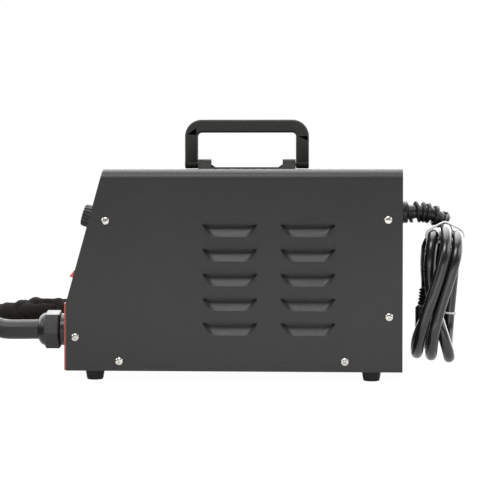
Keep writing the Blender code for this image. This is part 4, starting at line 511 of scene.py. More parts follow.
@dataclass(frozen=True)
class Board(Finish):
    """Circuit board: solder mask over tracks, with gold pads."""

    def dress(self, shader: Shader) -> None:
        """Fill in the node tree."""
        where = shader.place()
        brick = shader.add("ShaderNodeTexBrick", {"Vector": where, "Scale": 90.0, "Mortar Size": 0.06,
                                                  "Color1": (*self.colour, 1.0),
                                                  "Color2": (*(c * 1.25 for c in self.colour), 1.0),
                                                  "Mortar": (*(c * 1.9 for c in self.colour), 1.0)})
        dots = shader.add("ShaderNodeTexVoronoi", {"Vector": where, "Scale": 160.0})
        pad = shader.spread(dots.outputs["Distance"], 1.0, 0.0, 0.10, 0.14)
        shader.set(Base_Color=shader.blend(pad, brick.outputs["Color"], (0.62, 0.45, 0.16)),
                   Roughness=self.roughness, Coat_Weight=0.3,
                   Normal=shader.relief(brick.outputs["Fac"], 0.00008, 0.5))


POWDER = PowderCoat("case_powder_coat", "powder_coat", (0.0165, 0.0155, 0.0150), 0.42)
RED = Enamel("front_red_enamel", "red_panel", (0.38, 0.040, 0.029), 0.38)
GRIP = Moulding("handle_moulding", "black_plastic", (0.0105, 0.0097, 0.0080), 0.60)
KNOB_BLACK = Moulding("knob_moulding", "black_plastic", (0.020, 0.020, 0.021), 0.42, 900.0, 0.00004)
DULL_BLACK = Moulding("dull_black_moulding", "black_plastic", (0.016, 0.016, 0.017), 0.55)
NYLON = Moulding("gland_nylon", "gland_nylon", (0.0165, 0.0165, 0.0180), 0.32, 1500.0, 0.00003)
FOOT_RUBBER = Moulding("foot_rubber", "rubber", (0.0100, 0.0100, 0.0105), 0.72, 1000.0, 0.00010, 0.05)
RELIEF_RUBBER = Moulding("relief_rubber", "rubber", (0.0100, 0.0100, 0.0100), 0.30, 1200.0, 0.00004)
NICKEL = Metal("screw_nickel", "nickel", (0.82, 0.79, 0.75), 0.18)
ZINC = Metal("zinc_plated_steel", "zinc_steel", (0.56, 0.56, 0.57), 0.32)
ALUMINIUM = Metal("sawn_aluminium", "aluminium", (0.66, 0.67, 0.69), 0.36)
BRASS = Metal("turned_brass", "brass", (0.70, 0.50, 0.22), 0.28)
RED_LENS = Lens("rocker_red", "red_lens", (0.72, 0.022, 0.016), 0.22)
EARTH_RUBBER = Jacket("earth_lead_rubber", "lead_jacket", (0.0165, 0.0160, 0.0162), 0.48, 0.08)
CORD_PVC = Jacket("mains_cord_jacket", "cord_jacket", (0.0045, 0.0045, 0.0050), 0.22, 0.6)
SLEEVE = WovenSleeve("torch_sleeve_cloth", "sleeve_cloth", (0.0135, 0.0126, 0.0113), 0.80)
TIE_WHITE = Moulding("tie_white", "white_tie", (0.78, 0.78, 0.76), 0.45, 900.0, 0.00004)
CERAMIC = Moulding("torch_cup_ceramic", "ceramic", (0.66, 0.36, 0.27), 0.5, 1500.0, 0.00005)
IRON = Moulding("transformer_varnish", "core_iron", (0.10, 0.075, 0.05), 0.42, 500.0, 0.00008)
BOARD = Board("circuit_board", "board_green", (0.012, 0.10, 0.045), 0.4)


# ---- mesh helpers ----------------------------------------------------------------------------------
def object_from(name: str, shape: bmesh.types.BMesh, frame: Matrix | None = None,
                outward: bool = True) -> bpy.types.Object:
    """Mesh object at the origin from a bmesh, which is freed.

    Args:
        name: The object's name.
        shape: The bmesh.
        frame: Frame that the shape is in, baked into the mesh.
        outward: Whether to turn the faces outwards.

    Returns:
        The object.
    """
    if frame is not None:
        bmesh.ops.transform(shape, matrix=frame, verts=shape.verts)
    if outward:
        bmesh.ops.recalc_face_normals(shape, faces=shape.faces)
    mesh = bpy.data.meshes.new(name)
    shape.to_mesh(mesh)
    shape.free()
    made = bpy.data.objects.new(name, mesh)
    bpy.context.scene.collection.objects.link(made)
    return made


def applied(piece: bpy.types.Object) -> bpy.types.Object:
    """Turn an object and its modifiers into a plain mesh object at the origin."""
    bpy.context.view_layer.update()
    result = piece.evaluated_get(bpy.context.evaluated_depsgraph_get())
    mesh = bpy.data.meshes.new_from_object(result)
    mesh.transform(piece.matrix_world)
    name = piece.name
    bpy.data.objects.remove(piece, do_unlink=True)
    made = bpy.data.objects.new(name, mesh)
    bpy.context.scene.collection.objects.link(made)
    return made


def joined(name: str, pieces: Iterable[bpy.types.Object]) -> bpy.types.Object:
    """One object from several plain mesh objects, which are removed."""
    shape = bmesh.new()
    for piece in pieces:
        shape.from_mesh(piece.data)
        bpy.data.objects.remove(piece, do_unlink=True)
    return object_from(name, shape, outward=False)


def smooth(piece: bpy.types.Object, angle: float = 35.0) -> bpy.types.Object:
    """Smooth shading with edges kept sharp past an angle in degrees."""
    piece.data.shade_smooth()
    piece.data.set_sharp_from_angle(angle=math.radians(angle))
    return piece


def flattened(piece: bpy.types.Object) -> bpy.types.Object:
    """Weight the normals by area, so that flat faces look flat beside rounded edges."""
    weigh = piece.modifiers.new("weigh", "WEIGHTED_NORMAL")
    weigh.keep_sharp = True
    return applied(piece)


def bevelled(piece: bpy.types.Object, width: float, segments: int = 2, angle: float = 30.0) -> bpy.types.Object:
    """Round an object's edges and apply it.

    Args:
        piece: The object.
        width: Width of the rounding.
        segments: Steps across it.
        angle: Edges sharper than this many degrees are rounded.

    Returns:
        The object as a plain mesh.
    """
    rounding = piece.modifiers.new("rounding", "BEVEL")
    rounding.width = width
    rounding.segments = segments
    rounding.limit_method = "ANGLE"
    rounding.angle_limit = math.radians(angle)
    rounding.harden_normals = False
    rounding.use_clamp_overlap = True
    return flattened(smooth(applied(piece)))


def on_circle(radius: float, angle: float) -> tuple[float, float]:
    """Point of a circle about the origin."""
    return radius * math.cos(angle), radius * math.sin(angle)


def ring_of(shape: bmesh.types.BMesh, radius: float, height: float, sides: int) -> list[bmesh.types.BMVert]:
    """Ring of new corners about Z."""
    return [shape.verts.new((*on_circle(radius, math.tau * i / sides), height)) for i in range(sides)]


def skin(shape: bmesh.types.BMesh, one: Sequence[bmesh.types.BMVert], other: Sequence[bmesh.types.BMVert],
         flip: bool = False) -> None:
    """Faces between two rings of corners.

    Args:
        shape: The bmesh.
        one: First ring.
        other: Second ring, with as many corners.
        flip: Whether the faces run the other way round.
    """
    for i in range(len(one)):
        j = (i + 1) % len(one)
        shape.faces.new((one[i], one[j], other[j], other[i]) if flip else (one[i], other[i], other[j], one[j]))


def rectangle(half_x: float, half_y: float) -> Outline:
    """Outline of a rectangle about the origin."""
    return [(-half_x, -half_y), (half_x, -half_y), (half_x, half_y), (-half_x, half_y)]


def turned(name: str, profile: Sequence[tuple[float, float]], frame: Matrix, sides: int = 48) -> bpy.types.Object:
    """Solid of revolution about a frame's Z.

    Args:
        name: The object's name.
        profile: Radius and height of each point; a radius of 0 closes an end, else the profile is a ring.
        frame: The frame.
        sides: Steps around.

    Returns:
        The object.
    """
    shape = bmesh.new()
    rings: list[list[bmesh.types.BMVert]] = []
    for radius, height in profile:
        if radius < 1e-9:
            rings.append([shape.verts.new((0.0, 0.0, height))])
            continue
        rings.append(ring_of(shape, radius, height, sides))
    closed = len(rings[0]) > 1
    pairs = list(zip(rings, rings[1:] + rings[:1] if closed else rings[1:]))
    for one, other in pairs:
        for i in range(sides):
            j = (i + 1) % sides
            corners = [one[i % len(one)], one[j % len(one)], other[j % len(other)], other[i % len(other)]]
            unique = list(dict.fromkeys(corners))
            if len(unique) > 2:
                shape.faces.new(unique)
    return smooth(object_from(name, shape, frame))


def extruded(name: str, outlines: Sequence[Outline], low: float, high: float, frame: Matrix) -> bpy.types.Object:
    """Solid between two heights of a frame from flat outlines: the first is the rim, the others are holes.

    Args:
        name: The object's name.
        outlines: The outlines, in the frame's X and Y.
        low: Lower height along the frame's Z.
        high: Upper height.
        frame: The frame.

    Returns:
        The object.
    """
    points, faces = filled(outlines)
    shape = bmesh.new()
    bottom = [shape.verts.new((x, y, low)) for x, y in points]
    top = [shape.verts.new((x, y, high)) for x, y in points]
    for face in faces:
        shape.faces.new([bottom[i] for i in reversed(face)])
        shape.faces.new([top[i] for i in face])
    start = 0
    for outline in outlines:
        count = len(outline)
        for i in range(count):
            j = (i + 1) % count
            shape.faces.new((bottom[start + i], bottom[start + j], top[start + j], top[start + i]))
        start += count
    bmesh.ops.dissolve_limit(shape, angle_limit=math.radians(0.5), verts=shape.verts, edges=shape.edges,
                             delimit={"NORMAL"})
    return object_from(name, shape, frame)


def filled(outlines: Sequence[Outline]) -> tuple[Outline, list[list[int]]]:
    """Triangles inside the first outline and outside the others.

    Args:
        outlines: The outlines.

    Returns:
        All points in order, and the triangles' point numbers.
    """
    points = [Vector(point) for outline in outlines for point in outline]
    loops, start = [], 0
    for number, outline in enumerate(outlines):
        loop = list(range(start, start + len(outline)))
        area = sum(outline[i - 1][0] * outline[i][1] - outline[i][0] * outline[i - 1][1] for i in range(len(outline)))
        if (area < 0) != (number > 0):
            loop.reverse()
        loops.append(loop)
        start += len(outline)
    edges = [(loop[i - 1], loop[i]) for loop in loops for i in range(len(loop))]
    result = delaunay_2d_cdt(points, edges, [], 1, 1e-9)
    faces = [list(face) for face in result[2]]
    solid = []
    for face in faces:
        middle = sum((result[0][i] for i in face), Vector((0.0, 0.0))) / len(face)
        if not any(inside(middle, hole) for hole in outlines[1:]):
            solid.append([result[3][i][0] for i in face])
    return [tuple(point) for point in points], solid


def inside(point: Vector, outline: Outline) -> bool:
    """Whether a point lies inside an outline."""
    hit = False
    for (x0, y0), (x1, y1) in zip(outline, outline[1:] + outline[:1]):
        if (y0 > point.y) != (y1 > point.y) and point.x < (x1 - x0) * (point.y - y0) / (y1 - y0) + x0:
            hit = not hit
    return hit


def tube(name: str, points: Sequence[Vector], radius: float | Callable[[float, float], float], sides: int = 16,
         closed: bool = False) -> bpy.types.Object:
    """Tube along a path with a UV map in metres: across it around, and up it along.

    Args:
        name: The object's name.
        points: The path.
        radius: Its radius, or a function of the distance along it and the angle round it.
        sides: Steps around.
        closed: Whether the path is a ring.

    Returns:
        The object.
    """
    count = len(points)
    shape = bmesh.new()
    uv = shape.loops.layers.uv.new("along")
    along = distances(points)
    normal = None
    rings = []
    for i, point in enumerate(points):
        before = points[i - 1] if i or closed else point
        after = points[(i + 1) % count] if i + 1 < count or closed else point
        direction = (after - before).normalized()
        if normal is None:
            guess = Vector((0.0, 0.0, 1.0)) if abs(direction.z) < 0.8 else Vector((1.0, 0.0, 0.0))
            normal = (guess - direction * guess.dot(direction)).normalized()
        else:
            normal = (normal - direction * normal.dot(direction)).normalized()
        across = direction.cross(normal)
        ring = []
        for k in range(sides):
            angle = math.tau * k / sides
            reach = radius(along[i], angle) if callable(radius) else radius
            ring.append(shape.verts.new(point + normal * reach * math.cos(angle) + across * reach * math.sin(angle)))
        rings.append(ring)
    girth = math.tau * (radius if not callable(radius) else radius(0.0, 0.0))
    for i in range(count if closed else count - 1):
        j = (i + 1) % count
        end = along[j] if j else along[-1] + (points[0] - points[-1]).length
        for k in range(sides):
            m = (k + 1) % sides
            face = shape.faces.new((rings[i][k], rings[i][m], rings[j][m], rings[j][k]))
            corners = ((k, along[i]), (k + 1, along[i]), (k + 1, end), (k, end))
            for loop, (turn, height) in zip(face.loops, corners):
                loop[uv].uv = (girth * turn / sides, height)
    if not closed:
        shape.faces.new(list(reversed(rings[0])))
        shape.faces.new(rings[-1])
    return smooth(object_from(name, shape), 50.0)


def node_copy(name: str, node: str, rounding: float, segments: int = 2) -> bpy.types.Object:
    """Copy of a CAD node with merged faces and rounded edges.

    Args:
        name: The new piece's name.
        node: The CAD node.
        rounding: Width of the rounding, or 0 for none.
        segments: Steps across it.

    Returns:
        The copy.
    """
    source = bpy.data.objects[node]
    shape = bmesh.new()
    shape.from_mesh(source.data)
    bmesh.ops.remove_doubles(shape, verts=shape.verts, dist=0.000004)
    bmesh.ops.dissolve_limit(shape, angle_limit=math.radians(1.0), verts=shape.verts, edges=shape.edges)
    made = object_from(name, shape, source.matrix_world)
    return bevelled(made, rounding, segments) if rounding else smooth(made)


def dress(piece: bpy.types.Object, finish: Finish, body: Body, *nodes: str) -> bpy.types.Object:
    """Give a piece its finish and its body, and hide the CAD nodes that it stands for.

    Args:
        piece: The piece.
        finish: Its finish.
        body: The body that it rides on.
        *nodes: CAD nodes that it replaces.

    Returns:
        The piece.
    """
    piece.data.materials.clear()
    piece.data.materials.append(finish.material())
    if nodes:
        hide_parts(*nodes)
    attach(piece, body.value)
    LOG.info("%s: %d faces", piece.name, len(piece.data.polygons))
    return piece


def dressed_node(name: str, node: str, finish: Finish, rounding: float, segments: int = 2,
                 body: Body = Body.HOUSING) -> bpy.types.Object:
    """Rounded copy of a CAD node, dressed to stand for it.

    Args:
        name: The new piece's name.
        node: The CAD node.
        finish: The piece's finish.
        rounding: Width of the rounding, or 0 for none.
        segments: Steps across it.
        body: The body that it rides on.

    Returns:
        The piece.
    """
    return dress(node_copy(name, node, rounding, segments), finish, body, node)


def paint_node(node: str, finish: Finish) -> None:
    """Give a CAD node that stays a finish."""
    thing = bpy.data.objects[node]
    if thing.material_slots:
        for place in thing.material_slots:
            place.material = finish.material()
    else:
        thing.data.materials.append(finish.material())


# ---- a lead that lies on the floor -----------------------------------------------------------------
COIL_MIDDLE = (X_FRONT - 0.2680, -0.1400)
TURN_GAP = 0.0012
FLOOR_GAP = 0.0002


def coil_points(radius: float, diameter: float, turns: float, count: int = 96, lift: float = 0.0) -> list[Vector]:
    """Two-layer floor coil, left-handed from its far side: in, up one layer, and out again.

    Args:
        radius: Mean radius of its turns.
        diameter: The lead's diameter.
        turns: Number of turns.
        count: Points in a turn.
        lift: Height of what it lies on.

    Returns:
        The points.
    """
    step = diameter + TURN_GAP
    half = turns / 2
    points = []
    for i in range(round(turns * count) + 1):
        turn = i / count
        reach = radius + step * (abs(turn - half) - half / 2)
        height = diameter / 2 + step * ease((turn - half + 0.25) / 0.5) + FLOOR_GAP + lift
        x, y = on_circle(reach, math.pi / 2 + math.tau * turn)
        points.append(Vector((COIL_MIDDLE[0] + x, COIL_MIDDLE[1] + y, height)))
    return points


@dataclass
class FloorLead:
    """A lead that runs from the front panel to the floor, is coiled there and ends in a tool."""

    name: str
    finish: Finish
    diameter: float
    exit: Point
    knots: Sequence[Point]
    coil_radius: float
    coil_turns: float
    tail: Sequence[tuple[float, float]]
    nodes: tuple[str, ...]
    run_in: Sequence[tuple[float, float]]
    lift: float = 0.0
    sides: int = 20
    swell: Callable[[float, float], float] | None = None
    spacing: float = 0.005
    inside: float = 0.006
    neck: float = 1.0
    neck_length: float = 0.012
    fine: float = 0.006
    points: list[Vector] = field(default_factory=list)
    way: Vector = field(default_factory=Vector)
    end: Vector = field(default_factory=Vector)

    def route(self) -> None:
        """Work out the lead's whole path."""
        diameter = self.diameter
        shape = (self.coil_radius, diameter, self.coil_turns)
        coil = coil_points(*shape, lift=self.lift)
        chord = coil_points(*shape, 24, self.lift)
        back = (chord[0] - chord[1]).normalized()
        head = chord[0] + back * diameter
        near = [head + back * diameter * share + Vector((0.0, 0.0, rise)) for share, rise in self.run_in]
        run = smooth_route([*self.knots, *near, head], self.fine)
        way = (chord[-1] - chord[-2]).normalized()
        out = chord[-1] + way * diameter
        self.way = Vector((way.x, way.y, 0.0)).normalized()
        tail = [out, *(out + self.way * distance + Vector((0.0, 0.0, rise)) for distance, rise in self.tail)]
        self.end = tail[-1].copy()
        tail.append(self.end + self.way * self.inside)
        whole = [*run[:-1], *coil, *smooth_route(tail, self.fine)[1:]]
        self.points = even(whole, self.spacing)

    def build(self) -> bpy.types.Object:
        """Make the lead's tube."""
        self.route()
        mouth = path_length(self.points) - self.inside

        def reach(along: float, angle: float) -> float:
            """Radius at a distance along the lead, drawn in where it enters its tool."""
            radius = self.swell(along, angle) if self.swell else self.diameter / 2
            return radius * (1 - (1 - self.neck) * ease((along - mouth + self.neck_length) / self.neck_length))

        piece = tube(self.name, self.points, reach, self.sides)
        return dress(piece, self.finish, Body.HOUSING, *self.nodes)


# ---- studio ----------------------------------------------------------------------------------------
@dataclass
class Studio:
    """White floor, soft lamps, world and the photograph's camera."""

    camera_at: Point = (0.1214, -2.0730, 0.2280)
    target: Point = (0.0084, -0.0775, 0.1570)
    lens: float = 136.36
    lamps: tuple[tuple[str, Point, Point, float, float, float], ...] = (
        ("key", (-0.3, -1.5, 1.9), (0.0, 0.0, 0.15), 1.2, 0.7, 23.0),
        ("top", (0.1, 0.25, 1.8), (0.0, 0.0, 0.2), 1.8, 1.4, 20.0),
        ("left", (-1.6, -0.7, 0.9), (-0.1, 0.0, 0.12), 0.9, 0.9, 7.0),
        ("right", (1.7, -0.6, 1.0), (0.2, 0.0, 0.12), 0.9, 0.9, 8.0),
        ("low", (0.05, -0.55, 0.015), (0.0, 0.0, 0.06), 0.9, 0.2, 0.75))
    mirrored: float = 6.5
    ambient: float = 0.45

    def build(self) -> None:
        """Make camera, lamps, floor and world."""
        self.camera()
        for lamp in self.lamps:
            self.lamp(*lamp)
        self.floor()
        self.world()
        bpy.context.scene.view_settings.view_transform = "Standard"

    def camera(self) -> None:
        """Camera at the photograph's viewing angle."""
        data = bpy.data.cameras.new("photo_camera")
        data.sensor_width = 36.0
        data.lens = self.lens
        data.clip_start = 0.05
        made = bpy.data.objects.new("photo_camera", data)
        look = Vector(self.target) - Vector(self.camera_at)
        made.location = self.camera_at
        made.rotation_euler = look.to_track_quat("-Z", "Y").to_euler()
        bpy.context.scene.collection.objects.link(made)
        bpy.context.scene.camera = made

    def lamp(self, name: str, place: Point, target: Point, width: float, depth: float, power: float) -> None:
        """Soft rectangular lamp.

        Args:
            name: Its name.
            place: Where it hangs.
            target: What it faces.
            width: Its width.
            depth: Its depth.
            power: Its power in watts.
        """
        data = bpy.data.lights.new(name, "AREA")
        data.shape = "RECTANGLE"
        data.size = width
        data.size_y = depth
        data.energy = power
        made = bpy.data.objects.new(name, data)
        made.location = place
        made.rotation_euler = (Vector(target) - Vector(place)).to_track_quat("-Z", "Y").to_euler()
        bpy.context.scene.collection.objects.link(made)

    def floor(self) -> None:
        """White floor that keeps a pale shadow."""
        shape = bmesh.new()
        bmesh.ops.create_grid(shape, x_segments=1, y_segments=1, size=6.0)
        floor = object_from("studio_floor", shape, outward=False)
        shader = Shader("studio_white")
        shader.set(Base_Color=(0.7, 0.7, 0.7), Roughness=0.9, Specular_IOR_Level=0.1)
        rays = shader.add("ShaderNodeLightPath")
        mirrored = shader.maths("MULTIPLY", rays.outputs["Is Glossy Ray"], 0.5)
        seen = shader.maths("MAXIMUM", rays.outputs["Is Camera Ray"], mirrored)
        seen = shader.maths("MAXIMUM", seen, rays.outputs["Is Transmission Ray"])
        glow = shader.add("ShaderNodeEmission", {"Color": (1.0, 1.0, 1.0), "Strength": 1.08})
        mix = shader.add("ShaderNodeMixShader", {0: shader.maths("MULTIPLY", seen, 0.9),
                                                 1: shader.shader.outputs["BSDF"], 2: glow.outputs["Emission"]})
        shader.put(shader.tree.nodes["Material Output"].inputs["Surface"], mix.outputs["Shader"])
        floor.data.materials.append(shader.material)

    def world(self) -> None:
        """White surroundings, dimmer as a light than as a background."""
        world = bpy.data.worlds.new("studio_world")
        world.use_nodes = True
        bpy.context.scene.world = world
        sky = NodeTree(world.node_tree)
        rays = sky.add("ShaderNodeLightPath").outputs
        seen = sky.maths("MAXIMUM", rays["Is Camera Ray"], rays["Is Transmission Ray"])
        # mirrored rays see dim surroundings on the near side and bright ones behind the case
        split = sky.add("ShaderNodeSeparateXYZ", {"Vector": sky.add("ShaderNodeTexCoord").outputs["Generated"]})
        share = sky.add("ShaderNodeMapRange", {"Value": split.outputs["Y"], "From Min": -0.2, "From Max": 0.7,
                                               "To Min": -0.5, "To Max": self.mirrored})
        glance = sky.maths("MULTIPLY", rays["Is Glossy Ray"], share.outputs["Result"])
        bright = sky.add("ShaderNodeMapRange", {"Value": sky.maths("ADD", seen, glance), "To Min": self.ambient,
                                                "To Max": 1.0}, clamp=False)
        background = sky.tree.nodes["Background"]
        sky.put(background.inputs["Color"], (1.0, 1.0, 1.0))
        sky.put(background.inputs["Strength"], bright.outputs["Result"])


# ---- geometry node trees ---------------------------------------------------------------------------
class GeometryTree(NodeTree):
    """Shorthand for building and applying one geometry node tree."""

    def __init__(self, name: str, inputs: dict[str, str]) -> None:
        """Start a tree with named inputs.

        Args:
            name: The tree's name.
            inputs: Socket type of each input after the geometry.
        """
        super().__init__(bpy.data.node_groups.new(name, "GeometryNodeTree"))
        self.tree.is_modifier = True
        self.ids: dict[str, str] = {}
        self.tree.interface.new_socket("Geometry", in_out="INPUT", socket_type="NodeSocketGeometry")
        for label, kind in inputs.items():
            self.ids[label] = self.tree.interface.new_socket(label, in_out="INPUT", socket_type=kind).identifier
        self.tree.interface.new_socket("Geometry", in_out="OUTPUT", socket_type="NodeSocketGeometry")
        self.start = self.tree.nodes.new("NodeGroupInput").outputs
        self.end = self.tree.nodes.new("NodeGroupOutput").inputs

    def apply(self, piece: bpy.types.Object, values: dict[str, object]) -> bpy.types.Object:
        """Run the tree on an object.

        Args:
            piece: The object.
            values: Values of the named inputs.

        Returns:
            The result as a plain mesh object.
        """
        growth = piece.modifiers.new("growth", "NODES")
        growth.node_group = self.tree
        for label, value in values.items():
            growth[self.ids[label]] = value
        return applied(piece)


@cache
def copies_tree() -> GeometryTree:
    """Tree that sets a piece at each vertex, turned by the attribute turn, and welds it to a base."""
    made = GeometryTree("copies_at_places", {"Piece": "NodeSocketObject", "Base": "NodeSocketObject",
                                             "Weld": "NodeSocketFloat", "Finish": "NodeSocketMaterial"})
    piece = made.add("GeometryNodeObjectInfo", {"Object": made.start["Piece"]})
    base = made.add("GeometryNodeObjectInfo", {"Object": made.start["Base"]})
    turn = made.add("GeometryNodeInputNamedAttribute", {"Name": "turn"}, data_type="FLOAT_VECTOR")
    spin = made.add("FunctionNodeEulerToRotation", {"Euler": turn.outputs["Attribute"]})
    copies = made.add("GeometryNodeInstanceOnPoints", {"Points": made.start["Geometry"],
                                                       "Instance": piece.outputs["Geometry"],
                                                       "Rotation": spin.outputs["Rotation"]})
    whole = made.add("GeometryNodeJoinGeometry", {0: [copies.outputs["Instances"], base.outputs["Geometry"]]})
    real = made.add("GeometryNodeRealizeInstances", {"Geometry": whole.outputs["Geometry"]})
    welded = made.add("GeometryNodeMergeByDistance", {"Geometry": real.outputs["Geometry"],
                                                      "Distance": made.start["Weld"]})
    painted = made.add("GeometryNodeSetMaterial", {"Geometry": welded.outputs["Geometry"],
                                                   "Material": made.start["Finish"]})
    made.tree.links.new(painted.outputs["Geometry"], made.end["Geometry"])
    return made


@cache
def rib_tree() -> GeometryTree:
    """Tree that draws a round bar along a line of edges."""
    made = GeometryTree("bar_along_path", {"Radius": "NodeSocketFloat", "Sides": "NodeSocketInt",
                                           "Finish": "NodeSocketMaterial"})
    curve = made.add("GeometryNodeMeshToCurve", {"Mesh": made.start["Geometry"]})
    ring = made.add("GeometryNodeCurvePrimitiveCircle", {"Resolution": made.start["Sides"],
                                                         "Radius": made.start["Radius"]})
    bar = made.add("GeometryNodeCurveToMesh", {"Curve": curve.outputs["Curve"], "Profile Curve": ring.outputs["Curve"],
                                               "Fill Caps": True})
    real = made.add("GeometryNodeRealizeInstances", {"Geometry": bar.outputs["Mesh"]})
    painted = made.add("GeometryNodeSetMaterial", {"Geometry": real.outputs["Geometry"],
                                                   "Material": made.start["Finish"]})
    made.tree.links.new(painted.outputs["Geometry"], made.end["Geometry"])
    return made


def copies(name: str, piece: bpy.types.Object, frames: Sequence[Matrix], finish: Finish,
           base: bpy.types.Object | None = None, weld: float = 0.0) -> bpy.types.Object:
    """Copies of a piece at several frames, as one mesh.

    Args:
        name: The new object's name.
        piece: The piece, built at the origin; it is removed.
        frames: Where the copies stand.
        finish: Their finish.
        base: Object that the copies are welded to; it is removed.
        weld: Distance at which corners are welded.

    Returns:
        The object.
    """
    mesh = bpy.data.meshes.new(name)
    mesh.from_pydata([tuple(frame.translation) for frame in frames], [], [])
    turns = mesh.attributes.new("turn", "FLOAT_VECTOR", "POINT")
    for slot, frame in zip(turns.data, frames):
        slot.vector = tuple(frame.to_euler("XYZ"))
    made = bpy.data.objects.new(name, mesh)
    bpy.context.scene.collection.objects.link(made)
    values: dict[str, object] = {"Piece": piece, "Weld": weld, "Finish": finish.material()}
    if base is not None:
        values["Base"] = base
    result = copies_tree().apply(made, values)
    for used in (piece, base):
        if used is not None:
            bpy.data.objects.remove(used, do_unlink=True)
    result.data.name = name
    return result


def bar(name: str, points: Sequence[Vector], radius: float, sides: int, finish: Finish,
        closed: bool = False) -> bpy.types.Object:
    """Round bar along a path, drawn by geometry nodes.

    Args:
        name: The object's name.
        points: The path.
        radius: The bar's radius.
        sides: Steps around.
        finish: Its finish.
        closed: Whether the path is a ring.

    Returns:
        The object.
    """
    mesh = bpy.data.meshes.new(name)
    edges = [(i, i + 1) for i in range(len(points) - 1)]
    if closed:
        edges.append((len(points) - 1, 0))
    mesh.from_pydata([tuple(point) for point in points], edges, [])
    made = bpy.data.objects.new(name, mesh)
    bpy.context.scene.collection.objects.link(made)
    result = rib_tree().apply(made, {"Radius": radius, "Sides": sides, "Finish": finish.material()})
    return smooth(outwards(result), 60.0)


def outwards(piece: bpy.types.Object) -> bpy.types.Object:
    """Turn a closed mesh's faces outwards."""
    shape = bmesh.new()
    shape.from_mesh(piece.data)
    bmesh.ops.recalc_face_normals(shape, faces=shape.faces)
    shape.to_mesh(piece.data)
    shape.free()
    return piece


